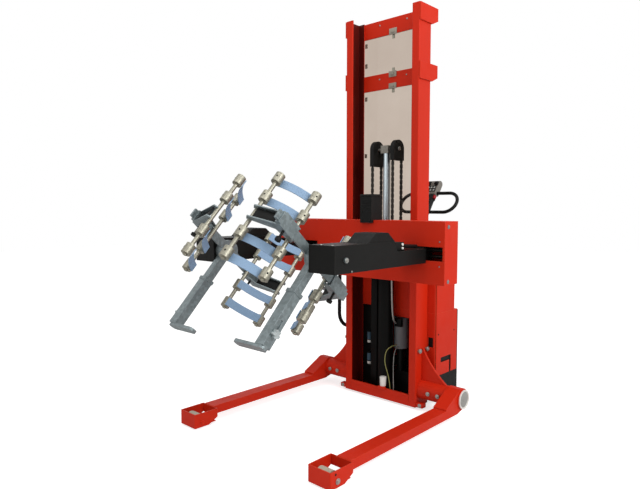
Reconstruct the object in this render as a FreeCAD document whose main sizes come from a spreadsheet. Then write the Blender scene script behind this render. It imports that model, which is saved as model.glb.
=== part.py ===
"""Drum tipper: a straddle stacker with two clamp arms and turning gripper heads.

Millimetres, +Z up. The load side faces -Y and +X is the left hand of the person at the tiller.
The origin is on the floor, under the middle of the drum that the pads hold.
"""
import FreeCAD
import Part
import Sketcher
import os
import re

doc = FreeCAD.newDocument("drum_tipper")
sheet = doc.addObject("Spreadsheet::Sheet", "Sizes")

SIZES = (
    # clearances
    ("running_gap", 0.05, "radial gap of a shaft in its hole"),
    ("sliding_gap", 0.4, "gap between flat sliding faces"),
    ("seat_gap", 0.3, "gap between curved faces of two pieces"),
    # drum and tipping axis
    ("drum_radius", 290.5, "radius of the drum that the pads hold"),
    ("axis_height", 955, "height of the tipping axis over the floor"),
    ("tip_angle", 47, "slope of the drum axis below level"),
    # mast
    ("mast_front", 901, "front of the uprights behind the tipping axis"),
    ("mast_depth", 121, "depth of an upright"),
    ("mast_half", 266, "outer face of an upright from the middle"),
    ("flange_width", 49, "width of an upright's flanges"),
    ("upright_wall", 9, "wall of the upright channel"),
    ("mast_top", 2327, "top of the uprights"),
    ("upright_round", 4, "rounding of the upright's outer corners"),
    ("base_bottom", 14, "underside of the mast base over the floor"),
    ("base_thickness", 20, "thickness of the mast base plate"),
    ("sill_top", 80, "top of the sill between the uprights"),
    ("sill_thickness", 10, "thickness of the sill"),
    ("shelf_height", 160, "underside of the power pack shelf"),
    ("shelf_depth", 52, "depth of the power pack shelf"),
    ("shelf_thickness", 12, "thickness of the power pack shelf"),
    # crossmember yokes
    ("yoke_wall", 8, "wall of the crossmember yokes"),
    ("yoke_reach", 62, "reach of the ears behind the uprights"),
    ("yoke_height", 96, "height of the yokes"),
    ("yoke_margin", 2, "top yoke below the top of the uprights"),
    ("yoke_drop", 323, "second yoke below the top yoke"),
    ("ear_cut", 54, "length of the slant under an ear's rear end"),
    ("ear_rise", 25, "height of that slant"),
    ("anchor_bar", 860, "underside of the chain anchor bar"),
    ("anchor_height", 40, "height of the chain anchor bar"),
    # screen
    ("screen_thickness", 4, "thickness of the clear screen"),
    ("screen_half", 250, "half width of the screen"),
    ("screen_bottom", 905, "lower edge of the screen"),
    ("clip_length", 26, "length of a screen clip"),
    ("clip_width", 16, "width of a screen clip"),
    ("clip_thickness", 5, "thickness of a screen clip"),
    ("first_clip_drop", 49, "first side clip below the top yoke"),
    ("second_clip_rise", 54, "second side clip over the second yoke"),
    ("third_clip_drop", 56, "third side clip below the second yoke"),
    ("fourth_clip_drop", 412, "fourth side clip below the second yoke"),
    # lift cylinder and head
    ("lift_setback", 67, "cylinder axis behind the mast front"),
    ("cylinder_radius", 47, "radius of the cylinder tube"),
    ("cylinder_wall", 7, "wall of the cylinder tube"),
    ("cylinder_top", 1100, "top of the cylinder tube"),
    ("gland_height", 30, "height of the rod gland"),
    ("rod_radius", 22, "radius of the piston rod"),
    ("rod_inside", 640, "length of rod inside the cylinder"),
    ("piston_height", 40, "height of the piston"),
    ("pulley_height", 1530, "height of the pulley axle"),
    ("pulley_spread", 75, "chain plane from the middle"),
    ("pulley_width", 20, "width of a chain pulley"),
    ("chain_radius", 44, "middle of the chain from the pulley axle"),
    ("chain_thickness", 10, "thickness of the chain"),
    ("chain_width", 16, "width of the chain"),
    ("axle_radius", 8, "radius of the pulley axle"),
    ("axle_half", 96, "half length of the pulley axle"),
    ("guard_radius", 53, "outer radius of a pulley guard"),
    ("guard_wall", 3, "wall of a pulley guard"),
    ("left_guard_drop", 69, "length of the left guard below the axle"),
    ("right_guard_drop", 101, "length of the right guard below the axle"),
    ("head_block", 54, "width of the block on the rod"),
    ("head_block_height", 46, "height of the block on the rod"),
    # carriage
    ("carriage_half", 600, "half width of the carriage"),
    ("carriage_front", 640, "front of the carriage plate behind the tipping axis"),
    ("carriage_depth", 122, "depth of the carriage flanges"),
    ("carriage_below", 167, "lower edge of the carriage below the tipping axis"),
    ("carriage_above", 156, "upper edge of the carriage over the tipping axis"),
    ("carriage_wall", 10, "wall of the carriage"),
    ("carriage_back", 6, "thickness of the plates behind the slots"),
    ("slot_below", 46, "lower edge of the arm slots below the tipping axis"),
    ("slot_height", 72, "height of the arm slots"),
    ("slot_inner", 270, "inner end of an arm slot from the middle"),
    ("slot_outer", 588, "outer end of an arm slot from the middle"),
    ("rail_radius", 10, "radius of the guide rails"),
    ("rail_setback", 50, "rails behind the carriage front"),
    ("rail_spacing", 34, "distance between the rails"),
    ("frame_inner", 198, "inner face of the roller plates"),
    ("frame_wall", 12, "thickness of the roller plates"),
    ("frame_margin", 14, "roller plates inside the carriage height"),
    ("frame_reach", 100, "reach of the roller plates into the mast"),
    ("shoe_height", 70, "height of a guide shoe"),
    ("tab_rise", 42, "chain tabs over the lower edge of the carriage"),
    ("tab_thickness", 15, "thickness of the chain tabs"),
    ("tab_bar", 35, "depth of the bar that carries the chain tabs"),
    ("tab_bar_setback", 21, "front of that bar before the mast front"),
    ("motor_inner", 73, "inner side of the clamp motor"),
    ("motor_outer", 152, "outer side of the clamp motor"),
    ("motor_height", 140, "height of the clamp motor"),
    ("motor_front", 622, "front of the clamp motor"),
    ("motor_depth", 95, "depth of the clamp motor"),
    ("motor_drop", 15, "reach of the clamp motor down the carriage front"),
    # arms
    ("arm_inner", 345, "inner face of an arm from the middle"),
    ("arm_outer", 495, "outer face of an arm from the middle"),
    ("arm_nose", 69, "front end of an arm before the tipping axis"),
    ("arm_rear", 633, "rear end of an arm"),
    ("arm_below", 58, "underside of an arm below the tipping axis"),
    ("arm_above", 65, "top of the front part of an arm over the tipping axis"),
    ("tail_above", 16, "top of the rear part of an arm over the tipping axis"),
    ("arm_step", 384, "rear end of the high part of an arm"),
    ("arm_wall", 8, "wall of the arm box"),
    ("window_length", 90, "length of the cable window behind the cover"),
    ("block_margin", 16, "slide block inside the arm width"),
    ("block_rear", 78, "slide block behind the carriage front"),
    ("block_slack", 3, "slide block inside the slot height"),
    ("cover_front", 162, "front of the tipping motor cover"),
    ("cover_slope", 56, "length of the cover's slanted ends"),
    ("cover_rear", 368, "rear of the tipping motor cover"),
    ("cover_height", 44, "height of the tipping motor cover"),
    ("cover_inset", 3, "cover inside the arm's outer face"),
    ("cover_inner_inset", 22, "cover inside the arm's inner face"),
    ("cover_wall", 3, "wall of the tipping motor cover"),
    ("cover_round", 20, "rounding of the cover's upper edges"),
    # gripper heads
    ("bar_inner", 300, "inner face of the cross-bar"),
    ("bar_thickness", 12, "thickness of the cross-bar"),
    ("bar_width", 45, "width of the cross-bar"),
    ("bar_half", 300, "half length of the cross-bar"),
    ("hub_radius", 55, "radius of the hub"),
    ("shaft_radius", 25, "radius of the tipping shaft"),
    ("shaft_end", 470, "shoulder of the tipping shaft from the middle"),
    ("stub_radius", 9, "radius of the shaft's outer end"),
    ("bolt_radius", 12, "radius of the bolt on the shaft"),
    ("bolt_height", 9, "height of the bolt on the shaft"),
    ("post_middle", 320, "middle of the support post from the middle plane"),
    ("post_width", 40, "width of the support post"),
    ("post_wall", 4, "wall of the support post"),
    ("post_end", 425, "end of the support post from the axis"),
    # feet
    ("foot_sleeve", 50, "width of the foot sleeve"),
    ("foot_sleeve_start", 190, "start of the foot sleeve from the axis"),
    ("foot_sleeve_end", 472, "end of the foot sleeve from the axis"),
    ("band_height", 18, "height of the band at the sleeve's mouth"),
    ("band_proud", 3, "thickness of that band"),
    ("foot_thickness", 14, "thickness of the foot"),
    ("foot_width", 44, "width of the foot"),
    ("foot_reach", 190, "reach of the foot towards the middle"),
    ("foot_round", 18, "rounding of the foot's corners"),
    ("knob_place", 405, "star knob from the axis"),
    ("knob_travel", 62, "length of the slot above the knob"),
    ("knob_screw", 5, "radius of the star knob's screw"),
    ("knob_hub", 14, "radius of the star knob's body"),
    ("knob_lobe", 7, "radius of a star knob lobe"),
    ("knob_height", 18, "height of the star knob"),
    ("knob_lobes", 5, "lobes of the star knob"),
    # pads
    ("pad_angle", 46.5, "place of a pad round the drum"),
    ("sleeve_place", 222, "middle of a pad sleeve along the cross-bar"),
    ("sleeve_length", 115, "length of a pad sleeve"),
    ("sleeve_wall", 6, "wall of a pad sleeve"),
    ("carrier_plate", 6, "thickness of a carrier plate"),
    ("carrier_arm", 26, "width of a carrier arm at its rod"),
    ("carrier_over", 16, "carrier plate past a rod"),
    ("pad_rod", 10, "radius of a pad rod"),
    ("rod_spacing", 192, "distance between the rods of a pad"),
    ("rod_over", 8, "rod past its last collar"),
    ("collar_radius", 24, "radius of a collar"),
    ("collar_length", 50, "length of a collar"),
    ("inner_collar", 105, "inner collar from the pad's middle"),
    ("outer_collar", 220, "outer collar from the pad's middle"),
    ("strap_width", 44, "width of a strap"),
    ("strap_thickness", 6, "thickness of a strap"),
    ("screw_radius", 6, "radius of a lock screw"),
    ("screw_length", 46, "lock screw outside its sleeve"),
    ("screw_knob", 14, "radius of a lock screw's knob"),
    ("screw_knob_height", 12, "height of a lock screw's knob"),
    # legs
    ("leg_inner", 453, "inner side of a leg"),
    ("leg_outer", 532, "outer side of a leg"),
    ("leg_bottom", 40, "underside of a leg"),
    ("leg_top", 86, "top of a leg"),
    ("leg_wall", 6, "wall of a leg"),
    ("tube_height", 112, "height of the leg tube's axis"),
    ("tube_radius", 55, "radius of the leg tube"),
    ("tube_wall", 6, "wall of the leg tube"),
    ("tube_end", 540, "outer end of the leg tube"),
    ("tube_setback", 67, "axis of the leg tube behind the mast front"),
    ("tube_bolt_inner", 345, "inner bolt on a leg tube from the middle"),
    ("tube_bolt_outer", 408, "outer bolt on a leg tube from the middle"),
    ("cap_depth", 10, "depth of the tube's end cap"),
    ("boot_start", 795, "start of the boot on the leg"),
    ("boot_step", 10, "step at the start of the boot"),
    ("boot_crest", 945, "rear end of the boot's slope"),
    ("boot_tail", 915, "rear end of the boot's flat underside"),
    ("boot_wall", 5, "wall of the boot round the leg tube"),
    ("box_inner", 415, "inner side of the roller box"),
    ("box_outer", 548, "outer side of the roller box"),
    ("box_nose", 152, "front of the roller box before the tipping axis"),
    ("box_length", 150, "length of the roller box"),
    ("box_bottom", 9, "underside of the roller box"),
    ("box_top", 84, "top of the roller box"),
    ("box_wall", 6, "wall of the roller box"),
    ("box_slant", 60, "slanted lower rear edge of the roller box"),
    ("roller_radius", 36, "radius of a front roller"),
    ("roller_width", 70, "width of a front roller"),
    ("roller_place", 107, "roller axle before the tipping axis"),
    ("roller_axle", 9, "radius of the roller axle"),
    # gussets
    ("gusset_thickness", 12, "thickness of a gusset plate"),
    ("gusset_top", 352, "upper edge of a gusset plate"),
    ("gusset_curve", 530, "radius of the gusset's hollow edge"),
    ("gusset_centre_out", 750, "centre of that edge from the middle"),
    ("gusset_centre_up", 592, "centre of that edge over the floor"),
    ("fastener_radius", 9, "radius of a bolt head on the frame"),
    ("fastener_height", 7, "height of a bolt head on the frame"),
    ("side_bolt_front", 27, "front side bolt of an upright behind the mast front"),
    ("side_bolt_rear", 106, "rear side bolt of an upright behind the mast front"),
    ("side_bolt_height", 346, "height of the side bolts"),
    # rear body
    ("body_half", 325, "half width of the rear body"),
    ("body_depth", 218, "depth of the rear housing"),
    ("body_top", 840, "top of the rear housing"),
    ("body_seam", 557, "seam between housing and lower cover"),
    ("cover_back", 254, "depth of the lower cover"),
    ("cover_foot", 183, "lower edge of the lower cover"),
    ("apron_bottom", 508, "lower edge of the sheet between the uprights"),
    ("notch_front", 57, "front of the side notch behind the uprights"),
    ("notch_strip", 155, "front of the notch's narrow part behind the uprights"),
    ("notch_rear", 174, "rear of the side notch behind the uprights"),
    ("notch_middle", 257, "lower edge of the notch's wide part"),
    ("notch_top", 287, "top of the side notch"),
    ("vent_inner", 272, "inner edge of a front vent from the middle"),
    ("vent_outer", 306, "outer edge of a front vent from the middle"),
    ("vent_bottom", 354, "lower edge of a front vent"),
    ("vent_top", 412, "upper edge of a front vent"),
    ("sheet_wall", 3, "wall of the body sheets"),
    ("body_round", 14, "rounding of the rear body's upright edges"),
    ("skirt_bottom", 40, "lower edge of the black skirt"),
    ("skirt_inset", 5, "skirt inside the cover"),
    ("panel_thickness", 6, "thickness of the black rear panel"),
    # power pack
    ("pump_motor_radius", 44, "radius of the pump motor"),
    ("pump_motor_out", 60, "pump motor from the middle"),
    ("pump_motor_bottom", 310, "underside of the pump motor"),
    ("pump_motor_top", 500, "top of the pump motor"),
    ("pump_radius", 23, "radius of the pump under its motor"),
    ("pump_setback", 26, "pump axis behind the uprights"),
    ("valve_inner", 96, "inner side of the valve block"),
    ("valve_outer", 176, "outer side of the valve block"),
    ("valve_depth", 44, "depth of the valve block"),
    ("valve_top", 500, "top of the valve block"),
    ("solenoid_radius", 13, "radius of a solenoid"),
    ("solenoid_length", 80, "length of a solenoid"),
    ("upper_solenoid", 318, "underside of the upper solenoid"),
    ("lower_solenoid", 180, "underside of the lower solenoid"),
    ("solenoid_out", 156, "solenoids from the middle"),
    # drive unit and tiller
    ("wheel_radius", 90, "radius of the drive wheel"),
    ("wheel_width", 60, "width of the drive wheel"),
    ("wheel_bore", 14, "bore of the drive wheel"),
    ("steer_place", 151, "steering axis behind the uprights"),
    ("fork_gap", 4, "fork plate beside the wheel"),
    ("fork_plate", 10, "thickness of a fork plate"),
    ("fork_depth", 76, "depth of a fork plate"),
    ("crown_gap", 12, "fork crown over the wheel"),
    ("crown_height", 16, "thickness of the fork crown"),
    ("column_radius", 30, "radius of the steering column"),
    ("column_rise", 12, "steering column over the housing"),
    ("clevis_height", 58, "tiller pivot over the column"),
    ("clevis_back", 52, "tiller pivot behind the steering axis"),
    ("clevis_plate", 10, "thickness of a clevis ear"),
    ("clevis_depth", 44, "depth of a clevis ear"),
    ("tiller_pin", 8, "radius of the tiller pin"),
    ("tiller_width", 56, "width of the tiller arm"),
    ("tiller_thickness", 34, "thickness of the tiller arm"),
    ("tiller_lean", 35, "lean of the tiller from upright"),
    ("tiller_length", 424, "tiller pivot to the foot of the head"),
    ("handle_width", 84, "width of the tiller head"),
    ("handle_length", 116, "length of the tiller head"),
    ("handle_thickness", 46, "thickness of the tiller head"),
    ("handle_round", 18, "rounding of the tiller head"),
    ("bow_radius", 11, "radius of the hand bows' tube"),
    ("bow_straight", 137, "straight part of a bow from the middle"),
    ("bow_bend", 76, "bend radius of a bow"),
    ("bow_place", 20, "upper run of a bow over the foot of the head"),
    ("button_width", 40, "width of the belly button"),
    ("button_length", 32, "length of the belly button"),
    ("button_height", 18, "height of the belly button"),
    ("button_place", 44, "foot of the button over the foot of the head"),
    # hose
    ("hose_radius", 12, "radius of the hose"),
    ("hose_out", 403, "hose from the middle"),
    ("hose_front", 100, "front leg of the hose behind the mast front"),
    ("hose_rear", 300, "rear leg of the hose behind the mast front"),
    ("hose_low", 376, "lowest point of the hose"),
    ("hose_clip_height", 1060, "underside of the hose clip"),
    ("hose_tab", 30, "width of the hose tabs"),
    ("hose_tab_thickness", 12, "thickness of the hose tabs"),
    ("hose_clip_grip", 13, "width of the hose clip on an upright"),
)
PLACES = (
    ("top_yoke", "=mast_top - yoke_margin - yoke_height", "underside of the top yoke"),
    ("second_yoke", "=top_yoke - yoke_drop", "underside of the second yoke"),
    ("first_clip", "=top_yoke - first_clip_drop", "height of the first side clip"),
    ("second_clip", "=second_yoke + yoke_height + second_clip_rise", "height of the second side clip"),
    ("third_clip", "=second_yoke - third_clip_drop", "height of the third side clip"),
    ("fourth_clip", "=second_yoke - fourth_clip_drop", "height of the fourth side clip"),
    ("carriage_bottom", "=axis_height - carriage_below", "lower edge of the carriage"),
    ("carriage_top", "=axis_height + carriage_above", "upper edge of the carriage"),
    ("slot_bottom", "=axis_height - slot_below", "lower edge of the arm slots"),
    ("tab_height", "=carriage_bottom + tab_rise", "underside of the chain tabs"),
    ("motor_top", "=carriage_top + motor_height", "top of the clamp motor"),
    ("arm_bottom", "=axis_height - arm_below", "underside of an arm"),
    ("arm_top", "=axis_height + arm_above", "top of the front part of an arm"),
    ("arm_tail_top", "=axis_height + tail_above", "top of the rear part of an arm"),
    ("cover_top", "=arm_top + cover_height", "top of the tipping motor cover"),
)
ALIASES = {alias for alias, _, _ in SIZES + PLACES}

for row, (alias, size, meaning) in enumerate(SIZES + PLACES, start=1):
    sheet.set(f"A{row}", str(size))
    sheet.setAlias(f"A{row}", alias)
    sheet.set(f"B{row}", meaning)
doc.recompute()


def expression(text):
    """Turns a formula in plain size names into one that reads the sheet."""
    return re.sub(r"[a-z][a-z_]*", lambda word: "Sizes." + word[0] if word[0] in ALIASES else word[0], text)


def value(text):
    """The number that a formula gives now."""
    number = sheet.evalExpression(expression(text))
    return float(getattr(number, "Value", number))


def bind(thing, name, text):
    thing.setExpression(name, expression(text))


# Places that several pieces share
MAST_REAR = "(mast_front + mast_depth)"
WEB_INNER = "(mast_half - upright_wall)"
FLANGE_INNER = "(mast_half - flange_width)"
BASE_TOP = "(base_bottom + base_thickness)"
YOKE_REAR = "(mast_front + mast_depth + yoke_wall)"
LIFT_AXIS = "(mast_front + lift_setback)"
SLOT_TOP = "(slot_bottom + slot_height)"
CARRIAGE_REAR = "(carriage_front + carriage_depth)"
PLATE_REAR = "(carriage_front + carriage_wall)"
RAIL_AXIS = "(carriage_front + rail_setback)"
SLOT_MIDDLE = "(slot_bottom + slot_height / 2)"
TAB_TOP = "(tab_height + tab_thickness)"
TUBE_AXIS = "(mast_front + tube_setback)"
STEER_AXIS = "(mast_front + mast_depth + steer_place)"
PUMP_AXIS = "(mast_front + mast_depth + pump_setback)"
SHELF_TOP = "(shelf_height + shelf_thickness)"
ROD_CIRCLE = "(drum_radius + strap_thickness + seat_gap + collar_radius)"
BAR_OUTER = "(bar_inner + bar_thickness)"
BAR_MIDDLE = "(bar_inner + bar_thickness / 2)"
SLEEVE_HALF_X = "(bar_thickness / 2 + sliding_gap + sleeve_wall)"
SLEEVE_HALF_Z = "(bar_width / 2 + sliding_gap + sleeve_wall)"
POST_OUTER = "(post_middle + post_width / 2)"
FOOT_OUTER = "(post_middle + foot_sleeve / 2)"
CLEVIS_FOOT = "(body_top + column_rise)"
TILLER_PIVOT_Y = "(mast_front + mast_depth + steer_place + clevis_back)"
TILLER_PIVOT_Z = "(body_top + column_rise + clevis_height)"

TURNS = {
    "x": FreeCAD.Rotation(FreeCAD.Vector(0, 1, 0), 90),
    "y": FreeCAD.Rotation(FreeCAD.Vector(1, 0, 0), -90),
    "z": FreeCAD.Rotation(),
}


def around(width, middle="0"):
    """The two ends of a width that is centred on a place."""
    return f"{middle} - ({width}) / 2", f"{middle} + ({width}) / 2"


def box(name, x, y, z):
    """A block between two places on each axis."""
    solid = doc.addObject("Part::Box", name)
    for side, axis, (low, high) in zip(("Length", "Width", "Height"), "xyz", (x, y, z)):
        bind(solid, side, f"({high}) - ({low})")
        bind(solid, f"Placement.Base.{axis}", low)
    return solid


def cylinder(name, axis, radius, span, centre):
    """A round bar along an axis; centre gives the two other places in X, Y, Z order."""
    solid = doc.addObject("Part::Cylinder", name)
    solid.Placement = FreeCAD.Placement(FreeCAD.Vector(), TURNS[axis])
    bind(solid, "Radius", radius)
    bind(solid, "Height", f"({span[1]}) - ({span[0]})")
    places = dict(zip([letter for letter in "xyz" if letter != axis], centre))
    places[axis] = span[0]
    for letter, place in places.items():
        bind(solid, f"Placement.Base.{letter}", place)
    return solid


def profile(name, plane, points, span):
    """A padded outline of straight sides in one of the three main planes."""
    body = doc.addObject("PartDesign::Body", name)
    sketch = body.newObject("Sketcher::SketchObject", name + "_outline")
    planes = {feature.Role: feature for feature in body.Origin.OriginFeatures}
    sketch.AttachmentSupport = (planes[plane + "_Plane"], [""])
    sketch.MapMode = "FlatFace"
    low, high = span
    bind(sketch, "AttachmentOffset.Base.z", f"-({high})" if plane == "XZ" else low)
    corners = [FreeCAD.Vector(value(across), value(up), 0) for across, up in points]
    for start, end in zip(corners, corners[1:] + corners[:1]):
        sketch.addGeometry(Part.LineSegment(start, end))
    for side, corner in enumerate(corners):
        following = (side + 1) % len(corners)
        sketch.addConstraint(Sketcher.Constraint("Coincident", side, 2, following, 1))
        for kind, place, text in zip(("DistanceX", "DistanceY"), corner, points[side]):
            index = sketch.addConstraint(Sketcher.Constraint(kind, -1, 1, side, 1, place))
            bind(sketch, f"Constraints[{index}]", text)
    pad = body.newObject("PartDesign::Pad", name + "_pad")
    pad.Profile = sketch
    bind(pad, "Length", f"({high}) - ({low})")
    return body


def fuse(name, *solids):
    whole = doc.addObject("Part::MultiFuse", name)
    whole.Shapes = list(solids)
    whole.Refine = True
    return whole


def cut(name, base, *tools):
    whole = doc.addObject("Part::Cut", name)
    whole.Base = base
    whole.Tool = tools[0] if len(tools) == 1 else fuse(name + "_tools", *tools)
    whole.Refine = True
    return whole


def group(name, *solids):
    """Separate solids that share one node."""
    whole = doc.addObject("Part::Compound", name)
    whole.Links = list(solids)
    return whole


def mirrored(name, source):
    """The same piece on the other side of the middle plane."""
    whole = doc.addObject("Part::Mirroring", name)
    whole.Source = source
    whole.Normal = FreeCAD.Vector(1, 0, 0)
    return whole


STRAIGHT = 0.001


def rounded(name, source, radius, along, above="0"):
    """Rounds the straight edges of a piece that run along an axis and lie above a height."""
    doc.recompute()
    direction = FreeCAD.Vector(*[float(letter == along) for letter in "xyz"])
    chosen = []
    for index, edge in enumerate(source.Shape.Edges, start=1):
        run = edge.Vertexes[-1].Point - edge.Vertexes[0].Point
        straight = run.cross(direction).Length < STRAIGHT * run.Length
        if straight and edge.CenterOfMass.z > value(above):
            chosen.append((index, value(radius), value(radius)))
    whole = doc.addObject("Part::Fillet", name)
    whole.Base = source
    whole.Edges = chosen
    return whole


NODES = {}


def node(name, thing):
    """Names a finished sub-part; its label is its file's name."""
    thing.Label = name
    NODES[name] = thing
    return thing


def both_sides(name, thing):
    """The left sub-part as built and the right one as its mirror image."""
    node("left_" + name, thing)
    node("right_" + name, mirrored("right_" + name, thing))


# Mast: two channels open to the middle, on a base plate with a sill in front
MAST_Y = ("mast_front", MAST_REAR)
MAST_X = ("-mast_half", "mast_half")
upright_block = box("upright_block", (FLANGE_INNER, "mast_half"), MAST_Y, (BASE_TOP, "mast_top"))
upright_bar = rounded("upright_bar", upright_block, "upright_round", "z")
upright_hollow = box(
    "upright_hollow", (f"{FLANGE_INNER} - upright_wall", WEB_INNER),
    ("mast_front + upright_wall", f"{MAST_REAR} - upright_wall"),
    (f"{BASE_TOP} - upright_wall", "mast_top + upright_wall"))
upright = cut("upright", upright_bar, upright_hollow)
node("uprights", group("uprights", upright, mirrored("upright_right", upright)))

base_plate = box("base_plate", MAST_X, MAST_Y, ("base_bottom", BASE_TOP))
sill = box("sill", (f"-{FLANGE_INNER}", FLANGE_INNER), ("mast_front", "mast_front + sill_thickness"),
           (BASE_TOP, "sill_top"))
node("mast_base", fuse("mast_base", base_plate, sill))


def yoke(name, bottom):
    """A crossmember behind the uprights whose two ears wrap their outer sides."""
    web = box(name + "_web", ("-mast_half - yoke_wall", "mast_half + yoke_wall"), (MAST_REAR, YOKE_REAR),
              (bottom, f"{bottom} + yoke_height"))
    rear = f"{MAST_REAR} + yoke_reach"
    ear = profile(name + "_ear", "YZ", [
        ("mast_front", bottom), (f"{rear} - ear_cut", bottom), (rear, f"{bottom} + ear_rise"),
        (rear, f"{bottom} + yoke_height"), ("mast_front", f"{bottom} + yoke_height")],
        ("mast_half", "mast_half + yoke_wall"))
    return fuse(name, web, ear, mirrored(name + "_ear_right", ear))


def anchor_bar():
    """A low bar behind the uprights with a tab under each rear chain run."""
    height = ("anchor_bar", "anchor_bar + anchor_height")
    bar = box("anchor_web", MAST_X, (MAST_REAR, YOKE_REAR), height)
    tab = box("anchor_tab", around("2 * chain_width", "pulley_spread"),
              (f"{LIFT_AXIS} + chain_radius - chain_thickness", MAST_REAR), height)
    return fuse("anchor", bar, tab, mirrored("anchor_tab_right", tab))


node("crossmembers", group("crossmembers", yoke("top_yoke_piece", "top_yoke"),
                           yoke("second_yoke_piece", "second_yoke"), anchor_bar()))

# Clear screen behind the yokes, with its clips
SCREEN_REAR = f"({YOKE_REAR} + screen_thickness)"
node("screen", box("screen", ("-screen_half", "screen_half"), (YOKE_REAR, SCREEN_REAR),
                   ("screen_bottom", "top_yoke + yoke_height")))


def screen_clip(name, out, up):
    """A clip that stands on the front of the screen, against a yoke's edge or an upright."""
    return box(name, around("clip_width", out), (f"{YOKE_REAR} - clip_thickness", YOKE_REAR),
               (up, f"{up} + clip_length"))


SIDE_CLIP_OUT = f"({FLANGE_INNER} - clip_width / 2)"
fasteners = []
for number, up in enumerate(("first_clip", "second_clip", "third_clip", "fourth_clip")):
    clip = screen_clip(f"side_clip_{number}", SIDE_CLIP_OUT, up)
    fasteners += [clip, mirrored(f"side_clip_right_{number}", clip)]
MIDDLE_CLIPS = ("top_yoke - clip_length", "second_yoke + yoke_height", "second_yoke - clip_length")
for number, up in enumerate(MIDDLE_CLIPS):
    fasteners.append(screen_clip(f"middle_clip_{number}", "0", up))

# Lift cylinder: tube, gland and bottom in one welded piece
LIFT_LINE = ("0", LIFT_AXIS)
cylinder_tube = cylinder("cylinder_tube", "z", "cylinder_radius", (BASE_TOP, "cylinder_top"), LIFT_LINE)
cylinder_bore = cylinder("cylinder_bore", "z", "cylinder_radius - cylinder_wall",
                         (f"{BASE_TOP} + gland_height", "cylinder_top - gland_height"), LIFT_LINE)
gland_bore = cylinder("gland_bore", "z", "rod_radius + running_gap",
                      ("cylinder_top - 2 * gland_height", "cylinder_top + gland_height"), LIFT_LINE)
node("lift_cylinder", cut("lift_cylinder", cylinder_tube, cylinder_bore, gland_bore))

ROD_FOOT = "(cylinder_top - rod_inside)"
HEAD_FOOT = "(pulley_height - head_block_height / 2)"
rod = cylinder("rod", "z", "rod_radius", (ROD_FOOT, HEAD_FOOT), LIFT_LINE)
piston = cylinder("piston", "z", "cylinder_radius - cylinder_wall - running_gap",
                  (ROD_FOOT, f"{ROD_FOOT} + piston_height"), LIFT_LINE)
node("piston_rod", fuse("piston_rod", rod, piston))

# Head of the rod: a block with the pulley axle through it
PULLEY_LINE = (LIFT_AXIS, "pulley_height")
block = box("head_block_piece", around("head_block"), around("head_block", LIFT_AXIS),
            (HEAD_FOOT, f"{HEAD_FOOT} + head_block_height"))
axle = cylinder("pulley_axle", "x", "axle_radius", ("-axle_half", "axle_half"), PULLEY_LINE)
node("rod_yoke", fuse("rod_yoke", block, axle))


def pulley(name):
    """A plain chain pulley with a bore for the axle."""
    span = around("pulley_width", "pulley_spread")
    wheel = cylinder(name + "_wheel", "x", "chain_radius - chain_thickness / 2 - seat_gap", span, PULLEY_LINE)
    bore = cylinder(name + "_bore", "x", "axle_radius + running_gap", span, PULLEY_LINE)
    return cut(name, wheel, bore)


left_pulley = pulley("left_pulley")
node("chain_pulleys", group("chain_pulleys", left_pulley, mirrored("right_pulley", left_pulley)))


def guard_form(name, half, radius, foot):
    """A long round-topped block over a pulley."""
    span = around(f"2 * {half}", "pulley_spread")
    top = cylinder(name + "_top", "x", radius, span, PULLEY_LINE)
    side = box(name + "_side", span, around(f"2 * {radius}", LIFT_AXIS), (foot, "pulley_height"))
    return fuse(name, top, side)


INNER_HALF = "(pulley_width / 2 + sliding_gap)"
OUTER_HALF = f"({INNER_HALF} + guard_wall)"


def chain_guard(name, drop):
    """A hollow guard over the left pulley, open below."""
    outer = guard_form(name + "_outer", OUTER_HALF, "guard_radius", f"pulley_height - {drop}")
    inner = guard_form(name + "_inner", INNER_HALF, "(guard_radius - guard_wall)",
                       f"pulley_height - {drop} - guard_wall")
    hole = cylinder(name + "_hole", "x", "axle_radius + running_gap", ("0", "axle_half + guard_wall"),
                    PULLEY_LINE)
    return cut(name, outer, inner, hole)


left_guard = chain_guard("left_guard", "left_guard_drop")
right_guard = mirrored("right_guard", chain_guard("right_guard_form", "right_guard_drop"))
node("pulley_guards", group("pulley_guards", left_guard, right_guard))

# Chains: the front run goes over the pulley, the rear run comes down to the anchor bar
CHAIN_X = around("chain_width", "pulley_spread")
CHAIN_OUTER = "(chain_radius + chain_thickness / 2)"
CHAIN_INNER = "(chain_radius - chain_thickness / 2)"
chain_ring = cut(
    "chain_ring", cylinder("chain_ring_outer", "x", CHAIN_OUTER, CHAIN_X, PULLEY_LINE),
    cylinder("chain_ring_inner", "x", CHAIN_INNER, CHAIN_X, PULLEY_LINE),
    box("chain_ring_foot", CHAIN_X, around(f"2 * {CHAIN_OUTER}", LIFT_AXIS),
        (f"pulley_height - {CHAIN_OUTER}", "pulley_height")))
front_run = box("front_run", CHAIN_X, (f"{LIFT_AXIS} - {CHAIN_OUTER}", f"{LIFT_AXIS} - {CHAIN_INNER}"),
                (TAB_TOP, "pulley_height"))
front_chain = fuse("front_chain", front_run, chain_ring)
node("front_chains", group("front_chains", front_chain, mirrored("front_chain_right", front_chain)))
rear_run = box("rear_run", CHAIN_X, (f"{LIFT_AXIS} + {CHAIN_INNER}", f"{LIFT_AXIS} + {CHAIN_OUTER}"),
               ("anchor_bar + anchor_height", "pulley_height"))
node("rear_chains", group("rear_chains", rear_run, mirrored("rear_run_right", rear_run)))

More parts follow.
